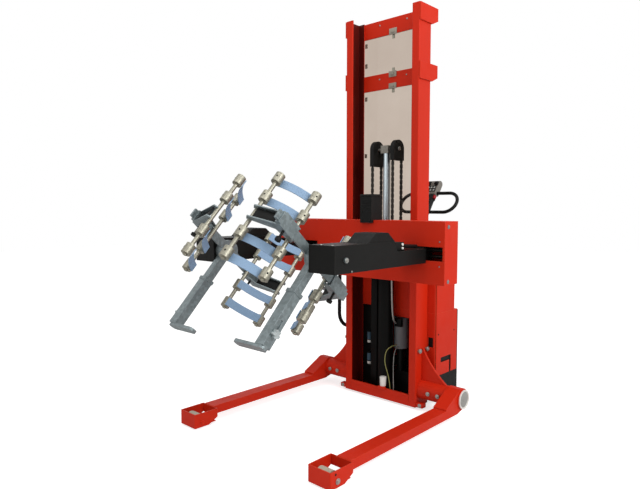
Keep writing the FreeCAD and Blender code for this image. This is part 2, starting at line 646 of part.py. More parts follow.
# Carriage: a slotted front plate with side, top and bottom flanges
carriage_block = box("carriage_block", ("-carriage_half", "carriage_half"), ("carriage_front", CARRIAGE_REAR),
                     ("carriage_bottom", "carriage_top"))
carriage_hollow = box("carriage_hollow", ("-carriage_half + carriage_wall", "carriage_half - carriage_wall"),
                      (PLATE_REAR, CARRIAGE_REAR + " + carriage_wall"),
                      ("carriage_bottom + carriage_wall", "carriage_top - carriage_wall"))
arm_slot = box("arm_slot", ("slot_inner", "slot_outer"), ("carriage_front - carriage_wall", PLATE_REAR),
               ("slot_bottom", SLOT_TOP))
node("carriage_plate", cut("carriage_plate", carriage_block, carriage_hollow, arm_slot,
                           mirrored("arm_slot_right", arm_slot)))
FRAME_OUTER = "(frame_inner + frame_wall)"
BACK_REAR = f"({CARRIAGE_REAR} + carriage_back)"
back_plate = box("back_plate", (f"{FRAME_OUTER} + sliding_gap", "carriage_half"), (CARRIAGE_REAR, BACK_REAR),
                 ("carriage_bottom", "carriage_top"))
HOSE_FRONT_Y = "(mast_front + hose_front)"
hose_tab = box("hose_tab_piece", around("hose_tab", "-hose_out"), (BACK_REAR, f"{HOSE_FRONT_Y} + hose_tab / 2"),
               ("carriage_bottom", "carriage_bottom + hose_tab_thickness"))


def rail_height(sign):
    return f"({SLOT_MIDDLE} {sign} rail_spacing / 2)"


RAIL_SPAN = ("-carriage_half + carriage_wall", "carriage_half - carriage_wall")
node("guide_rails", group("guide_rails", *[
    cylinder(f"rail_{number}", "x", "rail_radius", RAIL_SPAN, (RAIL_AXIS, rail_height(sign)))
    for number, sign in enumerate("-+")]))

# Roller frame: two plates into the mast, the shoes that run in the channels and the chain tabs; with it the
# plates that close the carriage's back and the tab of the hose
FRAME_Z = ("carriage_bottom + frame_margin", "carriage_top - frame_margin")
FRAME_X = ("frame_inner", FRAME_OUTER)
roller_plate = box("roller_plate", FRAME_X, (PLATE_REAR, "mast_front + frame_reach"), FRAME_Z)
rail_holes = [cylinder(f"frame_rail_hole_{number}", "x", "rail_radius + running_gap", FRAME_X,
                       (RAIL_AXIS, rail_height(sign))) for number, sign in enumerate("-+")]
roller_side = cut("roller_side", roller_plate, *rail_holes)
SHOE_X = (FRAME_OUTER, f"{WEB_INNER} - sliding_gap")
SHOE_Y = ("mast_front + upright_wall + sliding_gap", f"{MAST_REAR} - upright_wall - sliding_gap")
shoes = [box(f"shoe_{number}", SHOE_X, SHOE_Y, (foot, f"{foot} + shoe_height")) for number, foot in enumerate(
    ("carriage_bottom + frame_margin", "carriage_top - frame_margin - shoe_height"))]
TAB_BAR_FRONT = "(mast_front - tab_bar_setback)"
tab_bar = box("tab_bar_piece", ("-frame_inner", "frame_inner"), (TAB_BAR_FRONT, f"{TAB_BAR_FRONT} + tab_bar"),
              ("tab_height", TAB_TOP))
chain_tab = box("chain_tab", CHAIN_X, (f"{TAB_BAR_FRONT} + tab_bar", f"{LIFT_AXIS} - {CHAIN_INNER}"),
                ("tab_height", TAB_TOP))
frame_weld = fuse("frame_weld", roller_side, *shoes, mirrored("roller_side_right", roller_side),
                  *[mirrored(f"shoe_right_{number}", shoe) for number, shoe in enumerate(shoes)],
                  tab_bar, chain_tab, mirrored("chain_tab_right", chain_tab))
node("roller_frame", group("roller_frame", frame_weld, back_plate, mirrored("back_plate_right", back_plate),
                           hose_tab))

MOTOR_X = ("motor_inner", "motor_outer")
motor = box("clamp_motor_box", MOTOR_X, ("motor_front", "motor_front + motor_depth"),
            ("carriage_top", "motor_top"))
motor_nose = box("clamp_motor_nose", MOTOR_X, ("motor_front", "carriage_front"),
                 ("carriage_top - motor_drop", "motor_top"))
node("clamp_motor", fuse("clamp_motor", motor, motor_nose))

# Clamp arm: a box with a low tail, a cable window and a slide block on the rails
ARM_OUTLINE = [("-arm_nose", "arm_bottom"), ("arm_rear", "arm_bottom"), ("arm_rear", "arm_tail_top"),
               ("arm_step", "arm_tail_top"), ("arm_step - (arm_top - arm_tail_top) / 2", "arm_top"),
               ("-arm_nose", "arm_top")]
arm_form = profile("arm_form", "YZ", ARM_OUTLINE, ("arm_inner", "arm_outer"))
arm_hollow = profile("arm_hollow", "YZ", [
    ("-arm_nose + arm_wall", "arm_bottom + arm_wall"), ("arm_rear - arm_wall", "arm_bottom + arm_wall"),
    ("arm_rear - arm_wall", "arm_tail_top - arm_wall"),
    ("arm_step - 2 * arm_wall", "arm_tail_top - arm_wall"),
    ("arm_step - 2 * arm_wall - (arm_top - arm_tail_top) / 2", "arm_top - arm_wall"),
    ("-arm_nose + arm_wall", "arm_top - arm_wall")],
    ("arm_inner + arm_wall", "arm_outer - arm_wall"))
arm_window = box("arm_window", ("arm_inner + 2 * arm_wall", "arm_outer - 2 * arm_wall"),
                 ("arm_step + arm_wall", "arm_step + arm_wall + window_length"),
                 ("arm_tail_top - 2 * arm_wall", "arm_tail_top + arm_wall"))
inner_bearing = cylinder("inner_bearing", "x", "shaft_radius + running_gap",
                         ("arm_inner - arm_wall", "arm_inner + 2 * arm_wall"), ("0", "axis_height"))
outer_bearing = cylinder("outer_bearing", "x", "stub_radius + running_gap",
                         ("arm_outer - 2 * arm_wall", "arm_outer + arm_wall"), ("0", "axis_height"))
arm_shell = cut("arm_shell", arm_form, arm_hollow, arm_window, inner_bearing, outer_bearing)
slide_block = cut("slide_block", box(
    "slide_block_form", ("arm_inner + block_margin", "arm_outer - block_margin"),
    ("arm_rear", "carriage_front + block_rear"), ("slot_bottom + block_slack", SLOT_TOP + " - block_slack")),
    *[cylinder(f"slide_bore_{number}", "x", "rail_radius + running_gap", ("arm_inner", "arm_outer"),
               (RAIL_AXIS, rail_height(sign))) for number, sign in enumerate("-+")])
both_sides("arm", fuse("left_arm", arm_shell, slide_block))


def cover_form(name, inset, drop):
    """The slanted block of the tipping motor cover, drawn in by a wall."""
    return profile(name, "YZ", [
        (f"cover_front + {inset}", f"arm_top - {drop}"), (f"cover_rear - {inset}", f"arm_top - {drop}"),
        (f"cover_rear - cover_slope - {inset} / 2", f"cover_top - {inset}"),
        (f"cover_front + cover_slope + {inset} / 2", f"cover_top - {inset}")],
        (f"arm_inner + cover_inner_inset + {inset}", f"arm_outer - cover_inset - {inset}"))


cover_outer = cover_form("cover_outer", "0", "0")
cover_inner = cover_form("cover_inner", "cover_wall", "cover_wall")
cover_smooth = rounded("cover_smooth", cover_outer, "cover_round", "x", "arm_top + cover_wall")
both_sides("motor_cover", cut("left_motor_cover", cover_smooth, cover_inner))


# Gripper heads are drawn with the drum upright along Z and the left head on +X, then tipped in place
def tip(thing):
    """Turns a gripper piece from the upright drum to the slope it has on the machine."""
    thing.Placement = FreeCAD.Placement(FreeCAD.Vector(), FreeCAD.Rotation(FreeCAD.Vector(1, 0, 0), 1))
    bind(thing, "Placement.Base.z", "axis_height")
    bind(thing, "Placement.Rotation.Angle", "90 + tip_angle")
    return thing


CENTRE_LINE = ("0", "0")
BOLT_TOP = "(arm_outer + bolt_height)"
cross_bar = box("cross_bar", ("bar_inner", BAR_OUTER), ("-bar_half", "bar_half"), around("bar_width"))
hub = cylinder("hub", "x", "hub_radius", ("bar_inner", "arm_inner - sliding_gap"), CENTRE_LINE)
shaft = cylinder("shaft", "x", "shaft_radius", ("bar_inner", "shaft_end"), CENTRE_LINE)
stub = cylinder("stub", "x", "stub_radius", ("shaft_end", BOLT_TOP), CENTRE_LINE)
shaft_bolt = cylinder("shaft_bolt", "x", "bolt_radius", ("arm_outer + seat_gap", BOLT_TOP), CENTRE_LINE)


def square_tube(name, width, wall, start, end):
    """A square tube round the support post's middle line."""
    outer = box(name + "_outer", around(width, "post_middle"), around(width), (start, end))
    clear = f"{width} - 2 * ({wall})"
    inner = box(name + "_inner", around(clear, "post_middle"), around(clear), (start, f"{end} + {wall}"))
    return cut(name, outer, inner)


post = square_tube("post", "post_width", "post_wall", "bar_width / 2", "post_end")
KNOB_LINE = ("0", "knob_place")
knob_thread = cylinder("knob_thread", "x", "knob_screw + running_gap",
                       ("post_middle", f"{POST_OUTER} + post_wall"), KNOB_LINE)
head_weld = fuse("head_weld", cross_bar, hub, shaft, stub, shaft_bolt, post)
both_sides("head_frame", tip(cut("left_head_frame", head_weld, knob_thread)))

# Foot: a sleeve over the post with a slot for the star knob and a plate that reaches under the drum's end
SLEEVE_WALL = "((foot_sleeve - post_width) / 2 - sliding_gap)"
foot_tube = square_tube("foot_tube", "foot_sleeve", SLEEVE_WALL, "foot_sleeve_start", "foot_sleeve_end")
band = square_tube("band", "(foot_sleeve + 2 * band_proud)", f"({SLEEVE_WALL} + band_proud)",
                   "foot_sleeve_start", "foot_sleeve_start + band_height")
foot_plate = box("foot_plate", (f"{FOOT_OUTER} - foot_reach", FOOT_OUTER), around("foot_width"),
                 ("foot_sleeve_end", "foot_sleeve_end + foot_thickness"))
foot_bend = rounded("foot_bend", foot_plate, "foot_round", "z")
knob_slot = box("knob_slot", ("post_middle", f"{FOOT_OUTER} + foot_sleeve"),
                around("2 * (knob_screw + sliding_gap)"),
                ("knob_place - knob_travel - knob_screw", "knob_place + 2 * knob_screw"))
both_sides("foot", tip(cut("left_foot", fuse("foot_weld", foot_tube, band, foot_bend), knob_slot)))

KNOB_X = (f"{FOOT_OUTER} + sliding_gap", f"{FOOT_OUTER} + sliding_gap + knob_height")
knob_parts = [
    cylinder("knob_shank", "x", "knob_screw", (f"{POST_OUTER} - post_wall", KNOB_X[1]), KNOB_LINE),
    cylinder("knob_body", "x", "knob_hub", KNOB_X, KNOB_LINE)]
for lobe in range(int(value("knob_lobes"))):
    turn = f"(360 / knob_lobes * {lobe})"
    knob_parts.append(cylinder(f"knob_lobe_{lobe}", "x", "knob_lobe", KNOB_X, (
        f"knob_hub * sin({turn})", f"knob_place + knob_hub * cos({turn})")))
both_sides("star_knob", tip(fuse("left_star_knob", *knob_parts)))

# Pads: drawn for the upper pad; the lower one is its mirror image across the cross-bar's middle
HALF_SPACING = "(rod_spacing / 2)"
ROD_DISTANCE = f"sqrt({ROD_CIRCLE} ^ 2 - {HALF_SPACING} ^ 2)"


def pad_point(outwards, along):
    """A place in the pad's plane from a distance out from the drum's axis and one along its tangent."""
    return (f"(({outwards}) * cos(pad_angle) - ({along}) * sin(pad_angle))",
            f"(({outwards}) * sin(pad_angle) + ({along}) * cos(pad_angle))")


ROD_POINTS = [pad_point(ROD_DISTANCE, f"-{HALF_SPACING}"), pad_point(ROD_DISTANCE, HALF_SPACING)]
SLEEVE_OUTER_X = f"({BAR_MIDDLE} + {SLEEVE_HALF_X})"
SLEEVE_INNER_X = f"({BAR_MIDDLE} - {SLEEVE_HALF_X})"
SLEEVE_Y = around("sleeve_length", "sleeve_place")
CARRIER_OUTLINE = [
    pad_point(ROD_DISTANCE, f"-{HALF_SPACING} - carrier_over"),
    (SLEEVE_OUTER_X, f"{SLEEVE_Y[0]} - carrier_plate"),
    (SLEEVE_OUTER_X, f"{SLEEVE_Y[1]} - carrier_over"),
    pad_point(f"{ROD_DISTANCE} + carrier_arm", f"{HALF_SPACING} + carrier_over"),
    pad_point(ROD_DISTANCE, f"{HALF_SPACING} + carrier_over"),
    (f"{SLEEVE_INNER_X} - carrier_arm", f"sleeve_place + {SLEEVE_HALF_X}"),
]


SCREW_LINE = (BAR_MIDDLE, "sleeve_place")
CLEAR_HALF_Z = "(bar_width / 2 + sliding_gap)"


def carrier():
    """A sleeve for the cross-bar with two plates that hold the pad's rods."""
    sleeve = cut(
        "sleeve", box("sleeve_outer", (SLEEVE_INNER_X, SLEEVE_OUTER_X), SLEEVE_Y,
                      (f"-{SLEEVE_HALF_Z}", SLEEVE_HALF_Z)),
        box("sleeve_hollow", ("bar_inner - sliding_gap", f"{BAR_OUTER} + sliding_gap"), SLEEVE_Y,
            (f"-{CLEAR_HALF_Z}", CLEAR_HALF_Z)))
    plates = [profile("front_carrier_plate", "XY", CARRIER_OUTLINE,
                      (SLEEVE_HALF_Z, f"{SLEEVE_HALF_Z} + carrier_plate")),
              profile("rear_carrier_plate", "XY", CARRIER_OUTLINE,
                      (f"-{SLEEVE_HALF_Z} - carrier_plate", f"-{SLEEVE_HALF_Z}"))]
    holes = [cylinder(f"rod_hole_{number}", "z", "pad_rod + running_gap", ("-bar_width", "bar_width"), point)
             for number, point in enumerate(ROD_POINTS)]
    thread = cylinder("screw_thread", "z", "screw_radius + running_gap", ("bar_width / 2", "2 * bar_width"),
                      SCREW_LINE)
    return cut("carrier", fuse("carrier_weld", sleeve, *plates), *holes, thread)


COLLAR_PLACES = ("-outer_collar", "-inner_collar", "inner_collar", "outer_collar")


def pad_rods():
    """Two rods, each with four collars that hold the straps' ends."""
    pieces = []
    for number, point in enumerate(ROD_POINTS):
        half = "(outer_collar + collar_length / 2 + rod_over)"
        pieces.append(cylinder(f"pad_rod_{number}", "z", "pad_rod", (f"-{half}", half), point))
        for place, middle in enumerate(COLLAR_PLACES):
            span = around("collar_length", middle)
            ring = cylinder(f"collar_{number}_{place}", "z", "collar_radius", span, point)
            bore = cylinder(f"collar_bore_{number}_{place}", "z", "pad_rod + running_gap", span, point)
            pieces.append(cut(f"collar_piece_{number}_{place}", ring, bore))
    return group("rods", *pieces)


STRAP_HALF = f"asin({HALF_SPACING} / {ROD_CIRCLE})"


def strap(number, middle):
    """A belt that follows the drum from collar to collar."""
    span = around("strap_width", middle)
    belt = cylinder(f"belt_{number}", "z", "drum_radius + strap_thickness", span, ("0", "0"))
    bind(belt, "Angle", f"2 * {STRAP_HALF}")
    belt.Placement = FreeCAD.Placement(FreeCAD.Vector(), FreeCAD.Rotation(FreeCAD.Vector(0, 0, 1), 1))
    bind(belt, "Placement.Rotation.Angle", f"pad_angle * 1 deg - {STRAP_HALF}")
    drum = cylinder(f"belt_inside_{number}", "z", "drum_radius", span, ("0", "0"))
    return cut(f"strap_{number}", belt, drum)


def lock_screw():
    """The screw that holds a sleeve on the cross-bar, with its knob."""
    foot = "(bar_width / 2 + sliding_gap / 2)"
    knob = f"({SLEEVE_HALF_Z} + screw_length)"
    shank = cylinder("screw_shank", "z", "screw_radius", (foot, knob), SCREW_LINE)
    head = cylinder("screw_head", "z", "screw_knob", (knob, f"{knob} + screw_knob_height"), SCREW_LINE)
    return fuse("screw", shank, head)


def pad_nodes(name, upper):
    """One kind of pad piece at its four places: upper and lower, left and right."""
    lower = doc.addObject("Part::Mirroring", "left_lower_" + name)
    lower.Source = upper
    lower.Normal = FreeCAD.Vector(0, 1, 0)
    tipped = {"upper": group("left_upper_" + name, upper), "lower": group("left_lower_group_" + name, lower)}
    for place, thing in tipped.items():
        both_sides(f"{place}_{name}", tip(thing))


pad_nodes("carrier", carrier())
pad_nodes("rods", pad_rods())
pad_nodes("straps", group("straps", *[strap(number, middle) for number, middle in enumerate(COLLAR_PLACES)]))
pad_nodes("lock_screw", lock_screw())

# Straddle legs: a box leg, a boot round the leg tube and an open roller box at the tip
LEG_X = ("leg_inner", "leg_outer")
BOX_REAR = "(box_length - box_nose)"
leg_bar = box("leg_bar", LEG_X, (BOX_REAR, "boot_tail"), ("leg_bottom", "leg_top"))
leg_hollow = box("leg_hollow", ("leg_inner + leg_wall", "leg_outer - leg_wall"),
                 (f"{BOX_REAR} - leg_wall", "boot_start"), ("leg_bottom + leg_wall", "leg_top - leg_wall"))
BOOT_RADIUS = "(tube_radius + boot_wall)"
BOOT_HOLLOW_REAR = f"({TUBE_AXIS} - tube_radius - leg_wall)"
TUBE_LINE = (TUBE_AXIS, "tube_height")
boot_slope = profile("boot_slope", "YZ", [
    ("boot_start", "leg_bottom"), ("boot_tail", "leg_bottom"), (TUBE_AXIS, f"tube_height - {BOOT_RADIUS}"),
    (TUBE_AXIS, f"tube_height + {BOOT_RADIUS}"), ("boot_crest", f"tube_height + {BOOT_RADIUS}"),
    ("boot_start", "leg_top + boot_step")], LEG_X)
boot_round = cylinder("boot_round", "x", BOOT_RADIUS, LEG_X, TUBE_LINE)
boot_hollow = profile("boot_hollow", "YZ", [
    ("boot_start", "leg_bottom + leg_wall"), (BOOT_HOLLOW_REAR, "leg_bottom + leg_wall"),
    (BOOT_HOLLOW_REAR, "tube_height + tube_radius / 2"), ("boot_start", "leg_top - leg_wall")],
    ("leg_inner + leg_wall", "leg_outer - leg_wall"))
boot_bore = cylinder("boot_bore", "x", "tube_radius + running_gap", LEG_X, TUBE_LINE)
box_form = profile("box_form", "YZ", [
    ("-box_nose", "box_bottom"), (f"{BOX_REAR} - box_slant", "box_bottom"), (BOX_REAR, "leg_bottom"),
    (BOX_REAR, "box_top"), ("-box_nose", "box_top")], ("box_inner", "box_outer"))
box_hollow = box("box_hollow", ("box_inner + box_wall", "box_outer - box_wall"),
                 ("-box_nose + box_wall", f"{BOX_REAR} - box_wall"), ("0", "2 * box_top"))
ROLLER_LINE = ("-roller_place", "roller_radius")
AXLE_SPAN = ("box_inner - box_wall", "box_outer + box_wall")
roller_axle = cylinder("roller_axle_piece", "x", "roller_axle", AXLE_SPAN, ROLLER_LINE)
leg_weld = fuse("leg_weld", leg_bar, boot_slope, boot_round)
leg_body = cut("leg_body", leg_weld, leg_hollow, boot_hollow, boot_bore)
tip_box = cut("tip_box", rounded("box_rounded", box_form, "box_wall", "z"), box_hollow)
both_sides("leg", fuse("left_leg", leg_body, tip_box, roller_axle))


def front_roller():
    """A roller that turns on the axle through its box."""
    span = around("roller_width", "(box_inner + box_outer) / 2")
    tread = cylinder("tread", "x", "roller_radius", span, ROLLER_LINE)
    bore = cylinder("roller_bore", "x", "roller_axle + running_gap", span, ROLLER_LINE)
    return cut("left_roller", tread, bore)


both_sides("roller", front_roller())

# Leg tubes with end caps, the gusset plates that stand on them and the bolts of both
tube_outer = cylinder("tube_outer", "x", "tube_radius", ("mast_half", "tube_end"), TUBE_LINE)
TUBE_INSIDE = ("mast_half", "tube_end - cap_depth")
tube = cut("tube", tube_outer, cylinder("tube_bore", "x", "tube_radius - tube_wall", TUBE_INSIDE, TUBE_LINE))
node("leg_tubes", group("leg_tubes", tube, mirrored("tube_right", tube)))
gusset_form = box("gusset_form", ("mast_half", "leg_inner"), around("gusset_thickness", TUBE_AXIS),
                  ("tube_height", "gusset_top"))
gusset_hollow = cylinder("gusset_hollow", "y", "gusset_curve", around("2 * gusset_thickness", TUBE_AXIS),
                         ("gusset_centre_out", "gusset_centre_up"))
gusset = cut("gusset", gusset_form, gusset_hollow, tube_outer)
node("gussets", group("gussets", gusset, mirrored("gusset_right", gusset)))
for number, out in enumerate(("tube_bolt_inner", "tube_bolt_outer")):
    head = cylinder(f"tube_bolt_head_{number}", "y", "fastener_radius",
                    (f"{TUBE_AXIS} - tube_radius - fastener_height", TUBE_AXIS), (out, "tube_height"))
    bolt = cut(f"tube_bolt_{number}", head, tube_outer)
    fasteners += [bolt, mirrored(f"tube_bolt_right_{number}", bolt)]
for number, back in enumerate(("side_bolt_front", "side_bolt_rear")):
    bolt = cylinder(f"side_bolt_{number}", "x", "fastener_radius",
                    ("mast_half", "mast_half + 2 * fastener_height"), (f"mast_front + {back}", "side_bolt_height"))
    fasteners += [bolt, mirrored(f"side_bolt_right_{number}", bolt)]

# Power pack on its shelf behind the cylinder
pump_motor = cylinder("pump_motor_piece", "z", "pump_motor_radius", ("pump_motor_bottom", "pump_motor_top"),
                      ("pump_motor_out", PUMP_AXIS))
pump = cylinder("pump", "z", "pump_radius", (SHELF_TOP, "pump_motor_bottom"), ("pump_motor_out", PUMP_AXIS))
node("pump_motor", fuse("pump_motor", pump_motor, pump))
shelf = box("shelf", MAST_X, (MAST_REAR, f"{MAST_REAR} + shelf_depth"), ("shelf_height", SHELF_TOP))
shelf_leg = box("shelf_leg", MAST_X, (MAST_REAR, f"{MAST_REAR} + upright_wall"),
                ("base_bottom", "shelf_height"))
valve_block = box("valve_block", ("-valve_outer", "-valve_inner"), (MAST_REAR, f"{MAST_REAR} + valve_depth"),
                  (SHELF_TOP, "valve_top"))
solenoids = [cylinder(f"solenoid_{number}", "z", "solenoid_radius", (foot, f"{foot} + solenoid_length"),
                      ("-solenoid_out", f"{MAST_REAR} - solenoid_radius - seat_gap"))
             for number, foot in enumerate(("upper_solenoid", "lower_solenoid"))]
node("valves", group("valves", fuse("valve_shelf", shelf, shelf_leg, valve_block), *solenoids))

# Rear body: housing shell, lower cover, black skirt with the rear panel
BODY_REAR = f"({MAST_REAR} + body_depth)"
COVER_REAR = f"({MAST_REAR} + cover_back)"
BODY_X = ("-body_half", "body_half")
INSIDE_X = ("-body_half + sheet_wall", "body_half - sheet_wall")


def shell_block(name, rear, bottom, top):
    """A block whose upright edges are rounded."""
    return rounded(name, box(name + "_block", BODY_X, (MAST_REAR, rear), (bottom, top)), "body_round", "z")


housing_hollow = box("housing_hollow", INSIDE_X, (f"{MAST_REAR} + sheet_wall", f"{BODY_REAR} - sheet_wall"),
                     ("body_seam - sheet_wall", "body_top - sheet_wall"))
STEER_LINE = ("0", STEER_AXIS)
HOLE_SPAN = ("body_seam", "body_top + sheet_wall")
column_hole = cylinder("column_hole", "z", "column_radius + running_gap", HOLE_SPAN, STEER_LINE)
housing_block = shell_block("housing_block", BODY_REAR, "body_seam", "body_top")
node("rear_housing", cut("rear_housing", housing_block, housing_hollow, column_hole))
cover_hollow = box("cover_hollow", INSIDE_X, (f"{MAST_REAR} + sheet_wall", f"{COVER_REAR} - sheet_wall"),
                   ("cover_foot - sheet_wall", "body_seam + sheet_wall"))
FRONT_SHEET = (f"{MAST_REAR} - sheet_wall", f"{MAST_REAR} + 2 * sheet_wall")
cover_mouth = box("cover_mouth", (f"-{FLANGE_INNER}", FLANGE_INNER), FRONT_SHEET,
                  ("cover_foot - sheet_wall", "apron_bottom"))
front_vent = box("front_vent", ("vent_inner", "vent_outer"), FRONT_SHEET, ("vent_bottom", "vent_top"))
side_notch = profile("side_notch", "YZ", [
    (f"{MAST_REAR} + notch_front", "notch_middle"), (f"{MAST_REAR} + notch_strip", "notch_middle"),
    (f"{MAST_REAR} + notch_strip", "cover_foot - sheet_wall"),
    (f"{MAST_REAR} + notch_rear", "cover_foot - sheet_wall"), (f"{MAST_REAR} + notch_rear", "notch_top"),
    (f"{MAST_REAR} + notch_front", "notch_top")], ("body_half - 2 * sheet_wall", "body_half + sheet_wall"))
cover_lip = box("cover_lip", INSIDE_X, (f"{BODY_REAR} - sheet_wall", f"{COVER_REAR} - sheet_wall"),
                ("body_seam - sheet_wall", "body_seam"))
cover_block = shell_block("cover_block", COVER_REAR, "cover_foot", "body_seam")
cover_shell = cut("cover_shell", cover_block, cover_hollow, cover_mouth, front_vent, side_notch,
                  mirrored("front_vent_right", front_vent), mirrored("side_notch_right", side_notch))
node("lower_cover", fuse("lower_cover", cover_shell, cover_lip))
SKIRT_X = ("-body_half + skirt_inset", "body_half - skirt_inset")
skirt_block = box("skirt_block", SKIRT_X, (f"{MAST_REAR} + skirt_inset", f"{COVER_REAR} + panel_thickness"),
                  ("skirt_bottom", "cover_foot"))
skirt_hollow = box("skirt_hollow", around("2 * (body_half - skirt_inset - sheet_wall)"),
                   (MAST_REAR, f"{COVER_REAR} - sheet_wall"),
                   ("skirt_bottom - sheet_wall", "cover_foot + sheet_wall"))
rear_panel = box("rear_panel", SKIRT_X, (COVER_REAR, f"{COVER_REAR} + panel_thickness"),
                 ("cover_foot", "body_seam - skirt_inset"))
node("rear_skirt", fuse("rear_skirt", cut("skirt", skirt_block, skirt_hollow), rear_panel))

# Drive unit: a fork under a steering column, with the tiller's clevis on top
FORK_INNER = "(wheel_width / 2 + fork_gap)"
FORK_OUTER = f"({FORK_INNER} + fork_plate)"
CROWN_FOOT = "(2 * wheel_radius + crown_gap)"
CROWN_TOP = f"({CROWN_FOOT} + crown_height)"
FORK_Y = around("fork_depth", STEER_AXIS)
WHEEL_LINE = (STEER_AXIS, "wheel_radius")
fork_side = box("fork_side", (FORK_INNER, FORK_OUTER), FORK_Y, ("wheel_radius - fork_depth / 2", CROWN_FOOT))
crown = box("crown", (f"-{FORK_OUTER}", FORK_OUTER), FORK_Y, (CROWN_FOOT, CROWN_TOP))
column = cylinder("column", "z", "column_radius", (CROWN_TOP, CLEVIS_FOOT), STEER_LINE)
wheel_axle = cylinder("wheel_axle", "x", "wheel_bore - running_gap", (f"-{FORK_OUTER}", FORK_OUTER),
                      WHEEL_LINE)
CLEVIS_INNER = "(tiller_width / 2 + sliding_gap)"
CLEVIS_OUTER = f"({CLEVIS_INNER} + clevis_plate)"
clevis_floor = box("clevis_floor", (f"-{CLEVIS_OUTER}", CLEVIS_OUTER),
                   (f"{STEER_AXIS} - {CLEVIS_OUTER}", f"{TILLER_PIVOT_Y} + clevis_depth / 2"),
                   (CLEVIS_FOOT, f"{CLEVIS_FOOT} + clevis_plate"))
clevis_ear = box("clevis_ear", (CLEVIS_INNER, CLEVIS_OUTER), around("clevis_depth", TILLER_PIVOT_Y),
                 (f"{CLEVIS_FOOT} + clevis_plate", f"{TILLER_PIVOT_Z} + clevis_depth / 2"))
clevis_pin = cylinder("clevis_pin", "x", "tiller_pin", (f"-{CLEVIS_OUTER}", CLEVIS_OUTER),
                      (TILLER_PIVOT_Y, TILLER_PIVOT_Z))
fork_pieces = [fork_side, mirrored("fork_side_right", fork_side), crown, column, wheel_axle]
clevis_pieces = [clevis_floor, clevis_ear, mirrored("clevis_ear_right", clevis_ear), clevis_pin]
node("drive_fork", fuse("drive_fork", *fork_pieces, *clevis_pieces))
wheel_tread = cylinder("wheel_tread", "x", "wheel_radius", around("wheel_width"), WHEEL_LINE)
wheel_hole = cylinder("wheel_hole", "x", "wheel_bore", around("wheel_width"), WHEEL_LINE)
node("drive_wheel", cut("drive_wheel", wheel_tread, wheel_hole))


# Tiller pieces are drawn upright with the pivot at the origin, then leaned back
def lean(thing):
    thing.Placement = FreeCAD.Placement(FreeCAD.Vector(), FreeCAD.Rotation(FreeCAD.Vector(1, 0, 0), -1))
    bind(thing, "Placement.Base.y", TILLER_PIVOT_Y)
    bind(thing, "Placement.Base.z", TILLER_PIVOT_Z)
    bind(thing, "Placement.Rotation.Angle", "-tiller_lean")
    return thing


TILLER_X = around("tiller_width")
tiller_bar = box("tiller_bar", TILLER_X, around("tiller_thickness"), ("0", "tiller_length"))
tiller_eye = cylinder("tiller_eye", "x", "tiller_thickness / 2", TILLER_X, CENTRE_LINE)
tiller_hole = cylinder("tiller_hole", "x", "tiller_pin + running_gap", TILLER_X, CENTRE_LINE)
BOW_UPPER = "(tiller_length + bow_place)"
BOW_LOWER = "(tiller_length + bow_place - 2 * bow_bend)"


def bow():
    """A round hand loop from the head's side out and back to the arm."""
    upper_run = cylinder("bow_upper", "x", "bow_radius", (around("handle_width")[1], "bow_straight"),
                         ("0", BOW_UPPER))
    lower_run = cylinder("bow_lower", "x", "bow_radius", (TILLER_X[1], "bow_straight"), ("0", BOW_LOWER))
    bend = doc.addObject("Part::Torus", "bow_bend_piece")
    bind(bend, "Radius1", "bow_bend")
    bind(bend, "Radius2", "bow_radius")
    bend.Angle3 = 180
    bend.Placement = FreeCAD.Placement(FreeCAD.Vector(), FreeCAD.Rotation(
        FreeCAD.Vector(0, 0, -1), FreeCAD.Vector(1, 0, 0), FreeCAD.Vector(0, -1, 0), "XYZ"))
    bind(bend, "Placement.Base.x", "bow_straight")
    bind(bend, "Placement.Base.z", f"({BOW_UPPER} + {BOW_LOWER}) / 2")
    return fuse("bow", upper_run, bend, lower_run)


left_bow = bow()
node("tiller_arm", lean(cut("tiller_arm", fuse("tiller_weld", tiller_bar, tiller_eye, left_bow,
                                               mirrored("bow_right", left_bow)), tiller_hole)))
handle_form = rounded("handle_form", box(
    "handle_block", around("handle_width"), around("handle_thickness"),
    ("tiller_length", "tiller_length + handle_length")), "handle_round", "x")
BUTTON_FOOT = "(handle_thickness / 2 - button_height)"
BUTTON_Z = ("tiller_length + button_place", "tiller_length + button_place + button_length")
button_well = box("button_well", around("button_width + 2 * sliding_gap"), (BUTTON_FOOT, "handle_thickness"),
                  (f"{BUTTON_Z[0]} - sliding_gap", f"{BUTTON_Z[1]} + sliding_gap"))
node("tiller_head", lean(cut("tiller_head", handle_form, button_well)))
BUTTON_TRAVEL = "(button_height / 2)"
button_block = box("button_block", around("button_width"),
                   (f"{BUTTON_FOOT} + {BUTTON_TRAVEL}", f"handle_thickness / 2 + {BUTTON_TRAVEL}"), BUTTON_Z)
node("belly_button", lean(group("belly_button", button_block)))

# Hose: a slack loop from the carriage to a clip on the right upright, in two legs that meet at its low point
HOSE_BEND = "((hose_rear - hose_front) / 2)"
HOSE_MIDDLE = "(mast_front + (hose_front + hose_rear) / 2)"
HOSE_STRAIGHT = f"(hose_low + {HOSE_BEND})"


def hose_leg(name, place, top, first, last):
    """A straight run down from an end and a quarter bend from the first to the last direction."""
    run = cylinder(name + "_run", "z", "hose_radius", (HOSE_STRAIGHT, top), ("-hose_out", place))
    bend = doc.addObject("Part::Torus", name + "_bend")
    bind(bend, "Radius1", HOSE_BEND)
    bind(bend, "Radius2", "hose_radius")
    bend.Angle3 = 90
    turn = FreeCAD.Rotation(first, last, first.cross(last), "XYZ")
    bend.Placement = FreeCAD.Placement(FreeCAD.Vector(), turn)
    for letter, middle in zip("xyz", ("-hose_out", HOSE_MIDDLE, HOSE_STRAIGHT)):
        bind(bend, f"Placement.Base.{letter}", middle)
    return fuse(name, run, bend)


